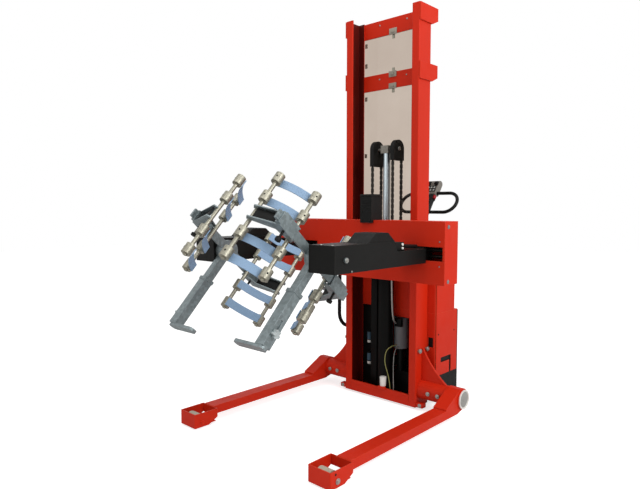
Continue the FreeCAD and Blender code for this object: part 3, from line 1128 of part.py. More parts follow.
FORWARDS = FreeCAD.Vector(0, -1, 0)
DOWN = FreeCAD.Vector(0, 0, -1)
HOSE_REAR_Y = "(mast_front + hose_rear)"
node("hose_moving_leg", hose_leg("hose_moving_leg", HOSE_FRONT_Y, "carriage_bottom", FORWARDS, DOWN))
node("hose_fixed_leg", hose_leg("hose_fixed_leg", HOSE_REAR_Y, "hose_clip_height", DOWN, -FORWARDS))
fasteners.append(box("hose_clip", ("-hose_out - hose_tab / 2", "-mast_half + hose_clip_grip"),
                     (MAST_REAR, f"{HOSE_REAR_Y} + hose_tab / 2"),
                     ("hose_clip_height", "hose_clip_height + hose_tab_thickness")))
node("fasteners", group("fasteners", *fasteners))

doc.recompute()
for thing in doc.Objects:
    if "Invalid" in thing.State or "Error" in thing.State:
        raise RuntimeError(f"{thing.Label} failed: {thing.State}")
for name, thing in NODES.items():
    if thing.Shape.isNull() or not thing.Shape.isValid() or not thing.Shape.Solids:
        raise RuntimeError(f"{name} has no valid solid")

os.makedirs("parts", exist_ok=True)
for name, thing in NODES.items():
    thing.Shape.exportStep(f"parts/{name}.step")
print(f"{len(NODES)} sub-parts written")
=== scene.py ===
# %% [markdown]
# # Dressing a drum tipper
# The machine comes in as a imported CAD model: a mast, a carriage with two clamp arms, and gripper heads that turn a
# drum. Blender adds what CAD leaves out: paint, metal, webbing, chains, hoses and small fasteners.
# Everything is in metres and in the frame of the CAD model, so a new piece goes where its drawing says.

# %% Load the frame
import bmesh
import bpy
import math
from mathutils import Matrix, Vector


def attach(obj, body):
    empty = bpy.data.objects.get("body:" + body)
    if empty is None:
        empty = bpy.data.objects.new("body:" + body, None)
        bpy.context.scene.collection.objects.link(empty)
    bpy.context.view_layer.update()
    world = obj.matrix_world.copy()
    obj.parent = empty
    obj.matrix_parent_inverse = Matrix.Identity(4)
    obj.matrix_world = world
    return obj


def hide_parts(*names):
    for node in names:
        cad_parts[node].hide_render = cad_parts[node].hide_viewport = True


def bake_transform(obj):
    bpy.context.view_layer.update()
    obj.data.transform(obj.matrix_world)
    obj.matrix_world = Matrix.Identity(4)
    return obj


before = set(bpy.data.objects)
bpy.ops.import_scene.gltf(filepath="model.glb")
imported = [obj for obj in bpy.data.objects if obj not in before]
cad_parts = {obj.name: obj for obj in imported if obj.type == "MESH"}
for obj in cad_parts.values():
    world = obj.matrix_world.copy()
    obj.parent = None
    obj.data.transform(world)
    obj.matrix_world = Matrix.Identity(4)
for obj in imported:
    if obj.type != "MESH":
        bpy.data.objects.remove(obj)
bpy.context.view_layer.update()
scene = bpy.context.scene

# %% [markdown]
# ## Camera
# The camera stands a little above the middle of the machine, on its left front corner. Place and lens come from
# fitting the drum's outline in the photograph, so proportions can be compared point by point.

# %% Camera
CAMERA_PLACE = (2.0606, -1.842, 1.1859)
CAMERA_TILT, CAMERA_TURN = math.radians(86.16), math.radians(42.94)
SENSOR_WIDTH, FOCAL_LENGTH = 36, 31.84


def placed(name, data):
    """A new object in the scene."""
    thing = bpy.data.objects.new(name, data)
    scene.collection.objects.link(thing)
    return thing


camera_data = bpy.data.cameras.new("camera")
camera_data.sensor_width = SENSOR_WIDTH
camera_data.lens = FOCAL_LENGTH
camera = placed("camera", camera_data)
camera.location = CAMERA_PLACE
camera.rotation_euler = (CAMERA_TILT, 0, CAMERA_TURN)
scene.camera = camera
scene.view_settings.view_transform = "Standard"

# %% [markdown]
# ## Light
# A large key light on the camera's right makes the side faces brighter than the front faces. Two weaker ones fill in
# from the front and from above. The world gives the rest evenly, and the camera, metal and glass see it as pure white.

# %% World and lamps
WHITE, WARM_WHITE = (1, 1, 1, 1), (1.0, 0.99, 0.98, 1)
ROOM_STRENGTH, BACKDROP_STRENGTH = 0.42, 1.0


def tuned(node, **values):
    """A shader node with new values for some of its inputs."""
    for socket, value in values.items():
        node.inputs[socket.replace("_", " ")].default_value = value
    return node


def maths(tree, operation, first, second=0.0):
    """The result of a Math node on two values, which are numbers or results of other nodes."""
    node = tree.nodes.new("ShaderNodeMath")
    node.operation = operation
    for socket, value in zip(node.inputs, (first, second)):
        if isinstance(value, float):
            socket.default_value = value
        else:
            tree.links.new(value, socket)
    return node.outputs["Value"]


world = bpy.data.worlds.new("studio")
world.use_nodes = True
scene.world = world
sky = world.node_tree
room = tuned(sky.nodes["Background"], Color=WARM_WHITE, Strength=ROOM_STRENGTH)
backdrop = tuned(sky.nodes.new("ShaderNodeBackground"), Color=WHITE, Strength=BACKDROP_STRENGTH)
path = sky.nodes.new("ShaderNodeLightPath")
through = maths(sky, "MAXIMUM", path.outputs["Is Glossy Ray"], path.outputs["Is Transmission Ray"])
seen = maths(sky, "MAXIMUM", path.outputs["Is Camera Ray"], through)
choice = sky.nodes.new("ShaderNodeMixShader")
sky.links.new(seen, choice.inputs["Fac"])
sky.links.new(room.outputs["Background"], choice.inputs[1])
sky.links.new(backdrop.outputs["Background"], choice.inputs[2])
sky.links.new(choice.outputs["Shader"], sky.nodes["World Output"].inputs["Surface"])


def lamp(name, place, target, size, power):
    """A square soft lamp that looks at a point."""
    data = bpy.data.lights.new(name, "AREA")
    data.size = size
    data.energy = power
    thing = placed(name, data)
    thing.location = place
    thing.rotation_euler = (Vector(target) - Vector(place)).to_track_quat("-Z", "Y").to_euler()


lamp("key", (4.6, 0.2, 3.6), target=(0, 0.5, 0.9), size=2.6, power=175)
lamp("fill", (-0.6, -4.6, 2.6), target=(0, 0.5, 1.0), size=3.0, power=45)
lamp("top", (0.4, -0.2, 4.8), target=(0, 0.5, 0.6), size=3.0, power=60)

# %% [markdown]
# ## Floor
# A pale floor takes the shadow. A little light of its own, for the camera only, lifts it to the white of the backdrop.

# %% Floor
FLOOR_HALF = 14.0
FLOOR_GREY = (0.82, 0.82, 0.82, 1)
FLOOR_GLOW = 0.68
floor_mesh = bmesh.new()
bmesh.ops.create_grid(floor_mesh, x_segments=1, y_segments=1, size=FLOOR_HALF)
floor_data = bpy.data.meshes.new("floor")
floor_mesh.to_mesh(floor_data)
floor_mesh.free()
floor = placed("floor", floor_data)
floor_material = bpy.data.materials.new("floor")
floor_material.use_nodes = True
floor_tree = floor_material.node_tree
floor_shader = tuned(floor_tree.nodes["Principled BSDF"], Base_Color=FLOOR_GREY, Roughness=0.9,
                     Specular_IOR_Level=0.1, Emission_Color=WHITE)
floor_path = floor_tree.nodes.new("ShaderNodeLightPath")
glow = maths(floor_tree, "MULTIPLY", floor_path.outputs["Is Camera Ray"], FLOOR_GLOW)
floor_tree.links.new(glow, floor_shader.inputs["Emission Strength"])
floor_data.materials.append(floor_material)

# %% [markdown]
# ## Tools for materials
# Each material is a Principled shader fed by small textures in object coordinates. Noise breaks up the colour and
# the gloss, a finer texture gives the grain, and the Bevel node rounds sharp edges in the shading alone.


# %% Material tools
def linear(red, green, blue):
    """A screen colour as the linear colour that shaders use."""
    return tuple((c / 255 / 12.92) if c < 10.5 else ((c / 255 + 0.055) / 1.055) ** 2.4
                 for c in (red, green, blue)) + (1.0,)


def shade(colour, factor):
    """A colour made darker or lighter."""
    return tuple(min(1.0, c * factor) for c in colour[:3]) + (1.0,)


TEXTURE_SHIFT = (0.37, 0.21, 0.13)
MIDDLE_LOW, MIDDLE_HIGH = 0.3, 0.7
BEVEL_SAMPLES = 4


class Recipe:
    """A material in the making: its shader and the place where its textures lie."""

    def __init__(self, name, roughness, metallic=0.0, sheen=0.5):
        self.material = bpy.data.materials.new(name)
        self.material.use_nodes = True
        self.tree = self.material.node_tree
        self.shader = tuned(self.tree.nodes["Principled BSDF"], Roughness=roughness, Metallic=metallic,
                            Specular_IOR_Level=sheen)
        mapping = self.node("Mapping", Location=TEXTURE_SHIFT)
        self.link(self.node("TexCoord").outputs["Object"], mapping.inputs["Vector"])
        self.place = mapping.outputs["Vector"]

    def node(self, kind, **values):
        """A new shader node with values for some of its inputs."""
        return tuned(self.tree.nodes.new("ShaderNode" + kind), **values)

    def link(self, source, target):
        self.tree.links.new(source, target)

    def noise(self, scale, detail=2.0, stretch=None):
        """A noise texture, drawn out along an axis by a second mapping if asked."""
        texture = self.node("TexNoise", Scale=scale, Detail=detail)
        place = self.place
        if stretch:
            mapping = self.node("Mapping", Scale=stretch)
            self.link(self.place, mapping.inputs["Vector"])
            place = mapping.outputs["Vector"]
        self.link(place, texture.inputs["Vector"])
        return texture.outputs["Fac"]

    def cells(self, scale):
        """The random value of each cell of a Voronoi texture."""
        texture = self.node("TexVoronoi", Scale=scale)
        self.link(self.place, texture.inputs["Vector"])
        split = self.node("SeparateColor")
        self.link(texture.outputs["Color"], split.inputs["Color"])
        return split.outputs["Red"]

    def ramp(self, source, stops):
        """Colours along a texture's value."""
        node = self.node("ValToRGB")
        elements = node.color_ramp.elements
        while len(elements) < len(stops):
            elements.new(0.5)
        for element, (position, colour) in zip(elements, stops):
            element.position = position
            element.color = colour
        self.link(source, node.inputs["Fac"])
        return node.outputs["Color"]

    def shades(self, source, colour, dark, light):
        """A colour that gets darker and lighter over a texture's middle range."""
        return self.ramp(source, [(MIDDLE_LOW, shade(colour, dark)), (MIDDLE_HIGH, shade(colour, light))])

    def spread(self, source, low, high):
        """A texture's middle range mapped to two values."""
        node = self.node("MapRange", From_Min=MIDDLE_LOW, From_Max=MIDDLE_HIGH, To_Min=low, To_Max=high)
        self.link(source, node.inputs["Value"])
        return node.outputs["Result"]

    def mix(self, factor, first, second):
        """Two colours by a factor; the second one is a fixed colour."""
        node = self.node("Mix")
        node.data_type = "RGBA"
        self.link(factor, node.inputs["Factor"])
        self.link(first, node.inputs["A"])
        node.inputs["B"].default_value = second
        return node.outputs["Result"]

    def rounded(self, radius):
        """The surface's direction with its edges rounded."""
        bevel = self.node("Bevel", Radius=radius)
        bevel.samples = BEVEL_SAMPLES
        return bevel.outputs["Normal"]

    def edges(self, radius, low, high):
        """White on sharp edges: where a rounded normal leaves the flat one."""
        dot = self.node("VectorMath")
        dot.operation = "DOT_PRODUCT"
        self.link(self.rounded(radius), dot.inputs[0])
        self.link(self.node("NewGeometry").outputs["Normal"], dot.inputs[1])
        node = self.node("MapRange", From_Min=1 - low, From_Max=1 - high)
        self.link(dot.outputs["Value"], node.inputs["Value"])
        return node.outputs["Result"]

    def bump(self, height, strength, distance, radius):
        """Grain on top of softly rounded edges."""
        node = self.node("Bump", Strength=strength, Distance=distance)
        self.link(height, node.inputs["Height"])
        self.link(self.rounded(radius), node.inputs["Normal"])
        self.link(node.outputs["Normal"], self.shader.inputs["Normal"])

    def set(self, socket, source):
        self.link(source, self.shader.inputs[socket])


# %% [markdown]
# ## Paint and plastic
# Sprayed enamel has faint clouds in its colour and the fine waves that painters call orange peel; its sharp edges get
# a painted highlight in a lighter colour. Moulded plastic has no clouds but a grain of small pits.


# %% Paint and plastic
def sprayed(recipe, colour, clouds):
    """Gives a recipe the orange peel of sprayed paint, and returns its cloudy colour."""
    recipe.bump(recipe.noise(260, detail=1), strength=0.06, distance=0.001, radius=0.002)
    return recipe.shades(recipe.noise(3.1, detail=4), colour, 1 - clouds, 1 + clouds)


def enamel(name, colour, roughness, clouds, edge_highlight, sheen=0.2):
    """Paint whose sharp edges get a lighter colour as a painted highlight."""
    recipe = Recipe(name, roughness, sheen=sheen)
    film = sprayed(recipe, colour, clouds)
    # Sharp edges are mixed towards a lighter colour: a painted highlight.
    recipe.set("Base Color", recipe.mix(recipe.edges(0.0022, low=0.03, high=0.25), film, edge_highlight))
    recipe.set("Roughness", recipe.spread(recipe.noise(17, detail=3), roughness - 0.05, roughness + 0.07))
    return recipe.material


def moulded(name, colour, roughness, pits, sheen=0.25):
    """Plastic or rubber with a grain of pits."""
    recipe = Recipe(name, roughness, sheen=sheen)
    recipe.set("Base Color", recipe.shades(recipe.noise(9, detail=3), colour, dark=0.86, light=1.16))
    recipe.set("Roughness", recipe.spread(recipe.noise(30, detail=2), roughness - 0.05, roughness + 0.08))
    recipe.bump(recipe.noise(900, detail=1), strength=pits, distance=0.0008, radius=0.0018)
    return recipe.material


RED = linear(199, 40, 15)
RED_SHEEN, RED_CLOUDS = 0.14, 0.05
# The edge colour of each enamel is lighter than its paint: a painted highlight on sharp edges.
red_paint = enamel("red_enamel", RED, 0.48, RED_CLOUDS, edge_highlight=linear(222, 84, 56), sheen=RED_SHEEN)
BLACK = linear(20, 20, 19)
black_paint = enamel("black_enamel", BLACK, 0.46, clouds=0.16, edge_highlight=linear(50, 50, 48), sheen=0.12)
black_plastic = moulded("black_plastic", BLACK, 0.5, pits=0.25, sheen=0.12)
# A darker copy of the black enamel paints shade on the parts inside the mast.
shaded_black = enamel("black_enamel_shaded", linear(11, 11, 10), 0.42, clouds=0.1, edge_highlight=linear(24, 24, 23), sheen=0.08)
grey_plastic = moulded("grey_plastic", linear(150, 150, 146), 0.48, 0.3)
white_plastic = moulded("white_plastic", linear(222, 220, 214), 0.42, 0.12)
signal_red = moulded("signal_red", linear(150, 18, 26), 0.34, 0.06)
coil_blue = moulded("coil_blue", linear(60, 82, 98), 0.5, 0.12)
handle_grey = moulded("handle_grey", linear(118, 114, 107), 0.5, 0.3)
hook_grey = moulded("hook_grey", linear(150, 143, 130), 0.4, 0.1)
hose_rubber = moulded("hose_rubber", linear(22, 22, 22), 0.62, 0.3, sheen=0.15)
tread_rubber = moulded("tread_rubber", linear(104, 78, 60), 0.66, 0.35)
roller_nylon = moulded("roller_nylon", linear(176, 168, 150), 0.46, 0.14)

# %% [markdown]
# The uprights are red outside, and the inside of their channels is painted dark red as shade. Three limits
# on the place, one for the width and two for the depth, tell inside from outside.

# %% Paint of the uprights
WEB_FACE, FRONT_FACE, REAR_FACE = 0.2600, 0.9085, 1.0145
CHANNEL_SHADE_RED = linear(82, 15, 8)
upright_recipe = Recipe("red_enamel_channel_shade", 0.44, sheen=RED_SHEEN)
upright_tree = upright_recipe.tree
axes = upright_recipe.node("SeparateXYZ")
upright_recipe.link(upright_recipe.node("TexCoord").outputs["Object"], axes.inputs["Vector"])
within_web = maths(upright_tree, "LESS_THAN", maths(upright_tree, "ABSOLUTE", axes.outputs["X"]), WEB_FACE)
behind_front = maths(upright_tree, "GREATER_THAN", axes.outputs["Y"], FRONT_FACE)
before_rear = maths(upright_tree, "LESS_THAN", axes.outputs["Y"], REAR_FACE)
between = maths(upright_tree, "MULTIPLY", behind_front, before_rear)
inside = maths(upright_tree, "MULTIPLY", within_web, between)
outside_red = sprayed(upright_recipe, RED, RED_CLOUDS)
# Inside the channels the colour is a painted shade.
upright_recipe.set("Base Color", upright_recipe.mix(inside, outside_red, CHANNEL_SHADE_RED))
upright_paint = upright_recipe.material

# %% [markdown]
# ## Metals
# Galvanised steel shows its crystals as patches of slightly different grey. A turned or ground rod shows fine lines
# along its length instead, and the oily chain is almost black.


# %% Metals
def galvanised(name, colour, roughness, crystal):
    """Zinc with crystals; a larger number makes them smaller."""
    recipe = Recipe(name, roughness, metallic=0.72)
    base = recipe.ramp(recipe.cells(crystal), [(0.0, shade(colour, 0.8)), (1.0, shade(colour, 1.16))])
    # Sharp edges are painted lighter as a highlight.
    base = recipe.mix(recipe.edges(0.0014, low=0.03, high=0.3), base, shade(colour, 1.6))
    recipe.set("Base Color", base)
    recipe.set("Roughness", recipe.spread(recipe.noise(60, detail=3), roughness - 0.07, roughness + 0.09))
    recipe.bump(recipe.noise(420, detail=2), strength=0.08, distance=0.0006, radius=0.0012)
    return recipe.material


def drawn_steel(name, colour, roughness, stretch):
    """Steel with fine lines along one axis."""
    recipe = Recipe(name, roughness, metallic=1.0)
    lines = recipe.noise(240, detail=2, stretch=stretch)
    recipe.set("Base Color", recipe.shades(lines, colour, dark=0.9, light=1.08))
    recipe.set("Roughness", recipe.spread(lines, roughness - 0.05, roughness + 0.08))
    recipe.bump(lines, strength=0.05, distance=0.0004, radius=0.0008)
    return recipe.material


ALONG_Z = (1, 1, 0.02)
ALONG_X = (0.02, 1, 1)
head_steel = galvanised("galvanised_head", linear(126, 136, 138), 0.44, 70)
collar_zinc = galvanised("zinc_collar", linear(146, 143, 129), 0.44, 130)
bolt_zinc = galvanised("zinc_bolt", linear(158, 157, 152), 0.38, 200)
knob_grey = galvanised("cast_knob", linear(176, 184, 184), 0.5, 90)
rod_chrome = drawn_steel("ground_rod", linear(176, 186, 190), 0.34, ALONG_Z)
# The rails get a near-black colour as painted shade in their slots.
rail_steel = drawn_steel("shaded_rail", linear(44, 41, 38), 0.42, ALONG_X)
pulley_steel = drawn_steel("turned_pulley", linear(120, 118, 114), 0.36, ALONG_X)
yoke_steel = galvanised("dull_yoke", linear(126, 122, 114), 0.5, 160)
chain_steel = galvanised("oiled_chain", linear(58, 56, 52), 0.42, 160)
# Its last colour is a lighter painted highlight on sharp edges.
cast_grey = enamel("grey_cast", linear(118, 120, 122), 0.5, 0.12, linear(150, 152, 154))

# %% [markdown]
# ## Webbing and the clear screen
# The straps are woven belts: warp threads run along them and weft threads across. Their UV map is in metres, so the
# two wave textures have the pitch of real yarn. The screen is a tinted sheet that lets most light through.

# %% Webbing and screen
webbing_recipe = Recipe("belt_webbing", 0.72)
uv_node = webbing_recipe.node("UVMap")
uv_node.uv_map = "belt"


def yarn(direction, scale):
    """Threads side by side along one direction of the UV map."""
    wave = webbing_recipe.node("TexWave", Scale=scale, Distortion=0.6)
    wave.bands_direction = direction
    webbing_recipe.link(uv_node.outputs["UV"], wave.inputs["Vector"])
    return wave.outputs["Fac"]


weave = maths(webbing_recipe.tree, "MULTIPLY", yarn("X", 130), yarn("Y", 170))
BELT = linear(136, 164, 194)
weave_colour = webbing_recipe.ramp(weave, [(0.0, shade(BELT, 0.8)), (0.6, shade(BELT, 1.12))])
webbing_recipe.set("Base Color", weave_colour)
webbing_recipe.bump(weave, strength=0.35, distance=0.0006, radius=0.001)
webbing = webbing_recipe.material

screen_recipe = Recipe("clear_sheet", 0.04)
tuned(screen_recipe.shader, Transmission_Weight=1.0, IOR=1.2)
haze = [(MIDDLE_LOW, linear(190, 175, 162)), (MIDDLE_HIGH, linear(201, 187, 174))]
screen_recipe.set("Base Color", screen_recipe.ramp(screen_recipe.noise(2.2, detail=3), haze))
clear_sheet = screen_recipe.material

# %% [markdown]
# ## Materials on the CAD nodes
# The solids keep their shapes and only change their finish.

# %% Dress the CAD nodes
finishes = {
    upright_paint: ["uprights"],
    red_paint: ["mast_base", "crossmembers", "gussets", "left_leg", "right_leg", "leg_tubes",
                "rear_housing", "lower_cover", "carriage_plate", "roller_frame"],
    shaded_black: ["lift_cylinder", "valves"],
    black_paint: ["left_arm", "right_arm", "clamp_motor", "drive_fork", "tiller_arm"],
    black_plastic: ["rear_skirt", "pulley_guards", "left_motor_cover", "right_motor_cover"],
    head_steel: ["left_head_frame", "right_head_frame", "left_foot", "right_foot"],
    knob_grey: ["left_star_knob", "right_star_knob"],
    collar_zinc: ["fasteners"],
    rod_chrome: ["piston_rod"],
    yoke_steel: ["rod_yoke"],
    rail_steel: ["guide_rails"],
    pulley_steel: ["chain_pulleys"],
    chain_steel: ["front_chains", "rear_chains"],
    cast_grey: ["pump_motor"],
    handle_grey: ["tiller_head"],
    signal_red: ["belly_button"],
    roller_nylon: ["left_roller", "right_roller"],
    tread_rubber: ["drive_wheel"],
    hose_rubber: ["hose_moving_leg", "hose_fixed_leg"],
    clear_sheet: ["screen"],
}
PADS = [f"{side}_{level}" for side in ("left", "right") for level in ("upper", "lower")]
for pad in PADS:
    finishes[head_steel].append(pad + "_carrier")
    finishes[collar_zinc].append(pad + "_rods")
    finishes[black_plastic].append(pad + "_lock_screw")
    finishes.setdefault(webbing, []).append(pad + "_straps")
for material, names in finishes.items():
    for name in names:
        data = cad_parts[name].data
        data.materials.clear()
        data.materials.append(material)
dressed = {name for names in finishes.values() for name in names}
print("nodes without a finish:", sorted(set(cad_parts) - dressed))

# %% [markdown]
# ## Tools for new pieces
# A piece is drawn in one bmesh, from primitives that are bevelled so that they catch the light. Then it becomes an
# object that rides on a body of the machine.


# %% Piece tools
SMOOTH = math.radians(38)


def piece(name, shape, material, body):
    """Turns a bmesh into an object that moves with a body."""
    bmesh.ops.recalc_face_normals(shape, faces=shape.faces)
    data = bpy.data.meshes.new(name)
    shape.to_mesh(data)
    shape.free()
    data.shade_smooth()
    data.set_sharp_from_angle(angle=SMOOTH)
    data.materials.append(material)
    thing = placed(name, data)
    if body:
        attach(thing, body)
    return thing


def facing(point, direction):
    """A frame at a point whose Z axis looks along a direction."""
    return Matrix.Translation(point) @ Vector(direction).to_track_quat("Z", "Y").to_matrix().to_4x4()


def raised(place, height):
    """A place moved along its own Z axis."""
    return place @ Matrix.Translation((0, 0, height))


def disc(shape, place, radius, height, sides=24, bevel=0.0, top=None):
    """A round or many-sided boss on the XY plane of a place; top is its upper radius."""
    made = bmesh.ops.create_cone(
        shape, cap_ends=True, segments=sides, radius1=radius, radius2=radius if top is None else top,
        depth=height, matrix=raised(place, height / 2))
    if bevel:
        summit = place @ Vector((0, 0, height))
        up = (place.to_3x3() @ Vector((0, 0, 1))).normalized()
        rim = {edge for vert in made["verts"] for edge in vert.link_edges
               if all(abs((end.co - summit).dot(up)) < 1e-6 for end in edge.verts)}
        bmesh.ops.bevel(shape, geom=list(rim), offset=bevel, segments=2, profile=0.5, affect="EDGES", material=-1)


def block(shape, low, high, bevel, place=Matrix()):
    """A bevelled block between two corners, in the frame of a place."""
    low, high = Vector(low), Vector(high)
    size = high - low
    made = bmesh.ops.create_cube(shape, size=1, matrix=place @ Matrix.Translation((low + high) / 2)
                                 @ Matrix.Diagonal((*size, 1)))
    rim = {edge for vert in made["verts"] for edge in vert.link_edges}
    bmesh.ops.bevel(shape, geom=list(rim), offset=bevel, segments=2, profile=0.5, affect="EDGES", material=-1)


def grow(shape, face, offset):
    """Extrudes a face by an offset, and returns its new corners and the new face in a list."""
    made = bmesh.ops.extrude_face_region(shape, geom=[face])["geom"]
    corners = [part for part in made if isinstance(part, bmesh.types.BMVert)]
    bmesh.ops.translate(shape, vec=offset, verts=corners)
    return corners, [part for part in made if isinstance(part, bmesh.types.BMFace)]


def bolt(shape, point, direction, across, height):
    """A hexagon head on a washer."""
    place = facing(point, direction)
    washer = across * 0.12
    disc(shape, place, across * 0.86, washer, 20, washer / 3)
    disc(shape, raised(place, washer), across / math.sqrt(3), height, 6, height / 5)


def button(shape, point, direction, radius, height):
    """A round screw head."""
    disc(shape, facing(point, direction), radius, height, 16, height / 2)


def both(point):
    """A point and its mirror image across the middle plane."""
    x, y, z = point
    return ((x, y, z), (-x, y, z))


def away(point):
    """The sideways direction from the middle plane towards a point."""
    return (math.copysign(1, point[0]), 0, 0)


def block_pair(shape, low, high, bevel):
    """A bevelled block on the left and its mirror image on the right."""
    block(shape, (-high[0], low[1], low[2]), (-low[0], high[1], high[2]), bevel)
    block(shape, low, high, bevel)


# %% [markdown]
# ## Straps
# Each pad holds the drum with four woven belts. A belt is a thin rounded section that is spun round the drum's axis
# from one rod to the other, so it has the drum's curve. It is drawn with the drum upright and then tipped.

# %% Straps
DRUM_RADIUS = 0.2905
AXIS = Vector((0, 0, 0.955))
TIPPED = Matrix.Translation(AXIS) @ Matrix.Rotation(math.radians(137), 4, "X")
PAD_ANGLE = math.radians(46.5)
ROD_CIRCLE = 0.3208
ROD_HALF = math.asin(0.096 / ROD_CIRCLE)
COLLARS = (-0.220, -0.105, 0.105, 0.220)
BELT_HALF_WIDTH = 0.022
BELT_THICKNESS = 0.0042
BELT_LIFT = 0.0006
BELT_OVER = math.radians(1.6)
BELT_TURN = 2 * (ROD_HALF + BELT_OVER)
BELT_STEPS = 18


def belt_section(middle):
    """The corners of a belt's section as radius and height, with its edges rounded off."""
    inner = DRUM_RADIUS + BELT_LIFT
    outer = inner + BELT_THICKNESS
    edge = BELT_THICKNESS / 3
    low, high = middle - BELT_HALF_WIDTH, middle + BELT_HALF_WIDTH
    return [(inner, low + edge), (inner + edge, low), (outer - edge, low), (outer, low + edge),
            (outer, high - edge), (outer - edge, high), (inner + edge, high), (inner, high - edge)]


def belt(shape, middle):
    """One belt round the upright drum's axis."""
    start = PAD_ANGLE - ROD_HALF - BELT_OVER
    ring = [shape.verts.new((radius * math.cos(start), radius * math.sin(start), height))
            for radius, height in belt_section(middle)]
    loop = [shape.edges.new(pair) for pair in zip(ring, ring[1:] + ring[:1])]
    spun = bmesh.ops.spin(shape, geom=ring + loop, cent=(0, 0, 0), axis=(0, 0, 1), angle=BELT_TURN,
                          steps=BELT_STEPS)
    last = [part for part in spun["geom_last"] if isinstance(part, bmesh.types.BMVert)]
    bmesh.ops.contextual_create(shape, geom=ring)
    bmesh.ops.contextual_create(shape, geom=last)


def belt_map(shape):
    """Writes a UV map in metres: along the belt and across it."""
    layer = shape.loops.layers.uv.new("belt")
    for face in shape.faces:
        for loop in face.loops:
            corner = loop.vert.co
            loop[layer].uv = (math.atan2(corner.y, corner.x) * DRUM_RADIUS, corner.z)


def pad_place(pad):
    """Tips an upright upper left pad into its place on the machine."""
    across = -1 if pad.startswith("right") else 1
    level = -1 if pad.endswith("lower") else 1
    return TIPPED @ Matrix.Diagonal((across, level, 1, 1))


for pad in PADS:
    belts = bmesh.new()
    for middle in COLLARS:
        belt(belts, middle)
    belt_map(belts)
    bmesh.ops.transform(belts, matrix=pad_place(pad), verts=belts.verts)
    straps = piece(pad + "_webbing", belts, webbing, pad + "_pad")
    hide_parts(pad + "_straps")

# %% [markdown]
# ## Collar screws
# Every collar on a pad rod is fixed by a small screw that looks away from the drum.

# %% Collar screws
COLLAR_RADIUS = 0.024
SCREW_RADIUS, SCREW_HEIGHT, SCREW_SINK = 0.0042, 0.0012, 0.0004
for pad in PADS:
    screws = bmesh.new()
    for angle in (PAD_ANGLE - ROD_HALF, PAD_ANGLE + ROD_HALF):
        outwards = Vector((math.cos(angle), math.sin(angle), 0))
        for middle in COLLARS:
            point = outwards * (ROD_CIRCLE + COLLAR_RADIUS - SCREW_SINK) + Vector((0, 0, middle))
            disc(screws, facing(point, outwards), SCREW_RADIUS, SCREW_HEIGHT, 12, bevel=0.0004)
    bmesh.ops.transform(screws, matrix=pad_place(pad), verts=screws.verts)
    piece(pad + "_collar_screws", screws, black_plastic, pad + "_pad")

# %% [markdown]
# ## Painted shade in the carriers
# A dark plate stands in the channel between the two plates of each carrier, from its sleeve to the far rod, as painted
# shade.

# %% Carrier shade plates
SHADE_PLATE_START, SHADE_PLATE_END = Vector((0.288, 0.251, 0)), Vector((0.160, 0.300, 0))
SHADE_PLATE_HALF_HEIGHT = 0.0284
SHADE_PLATE_HALF_THICKNESS = 0.0015
shade_plate_length = (SHADE_PLATE_END - SHADE_PLATE_START).length
shade_plate_turn = math.atan2(SHADE_PLATE_END.y - SHADE_PLATE_START.y, SHADE_PLATE_END.x - SHADE_PLATE_START.x)
shade_plate_place = Matrix.Translation(SHADE_PLATE_START) @ Matrix.Rotation(shade_plate_turn, 4, "Z")
for pad in PADS:
    shade_plate = bmesh.new()
    # The plate is black as painted shade between the carrier's plates.
    block(shade_plate, (0, -SHADE_PLATE_HALF_THICKNESS, -SHADE_PLATE_HALF_HEIGHT), (shade_plate_length, SHADE_PLATE_HALF_THICKNESS, SHADE_PLATE_HALF_HEIGHT),
          bevel=0.0008, place=shade_plate_place)
    bmesh.ops.transform(shade_plate, matrix=pad_place(pad), verts=shade_plate.verts)
    piece(pad + "_carrier_shade_plate", shade_plate, black_plastic, pad + "_pad")

# %% [markdown]
# ## Chains
# A leaf chain is a stack of flat plates on pins. One plate is a circle whose upper half is moved up by the pitch
# and which is then extruded. Links repeat along the straight runs and round the pulleys.

# %% Chain links
PITCH = 0.0159
PLATE_RADIUS = 0.0055
PLATE_THICKNESS = 0.0022
PULLEY_AXIS = Vector((0, 0.968, 1.53))
CHAIN_RADIUS = 0.044
CHAIN_OUT = 0.075
PIN_RADIUS, PIN_LENGTH = 0.0030, 0.0184
OUTER_PLATES = (-0.0078, -0.0011, 0.0056)
INNER_PLATES = (-0.0048, 0.0026)
STADIUM_SIDES = 10


def plate(shape, place, offset, pitch):
    """One flat link plate whose pin holes lie at the place and one pitch further along its Y axis."""
    made = bmesh.ops.create_circle(shape, cap_ends=True, radius=PLATE_RADIUS, segments=STADIUM_SIDES)
    ring = made["verts"]
    for vert in ring:
        if vert.co.y > 1e-5:
            vert.co.y += pitch
        vert.co.z = offset
    top, _ = grow(shape, ring[0].link_faces[0], (0, 0, PLATE_THICKNESS))
    bmesh.ops.transform(shape, matrix=place, verts=ring + top)


def link(shape, point, direction, number, pitch):
    """A link with its first pin, from a point along a direction in the chain's plane."""
    towards = Vector(direction)
    place = Matrix.Translation(point) @ Matrix((
        (0, 0, 1, 0), (towards.z, towards.y, 0, 0), (-towards.y, towards.z, 0, 0), (0, 0, 0, 1)))
    for offset in OUTER_PLATES if number % 2 else INNER_PLATES:
        plate(shape, place, offset, pitch)
    disc(shape, raised(place, -PIN_LENGTH / 2), PIN_RADIUS, PIN_LENGTH, 8)


def straight_run(shape, out, y, low, high):
    """Links from one height up to another."""
    count = round((high - low) / PITCH)
    pitch = (high - low) / count
    for number in range(count):
        link(shape, (out, y, low + number * pitch), (0, 0, 1), number, pitch)


# %% [markdown]
# The front run shortens and the rear run grows as the head rises. The part on the pulley rides on the head.

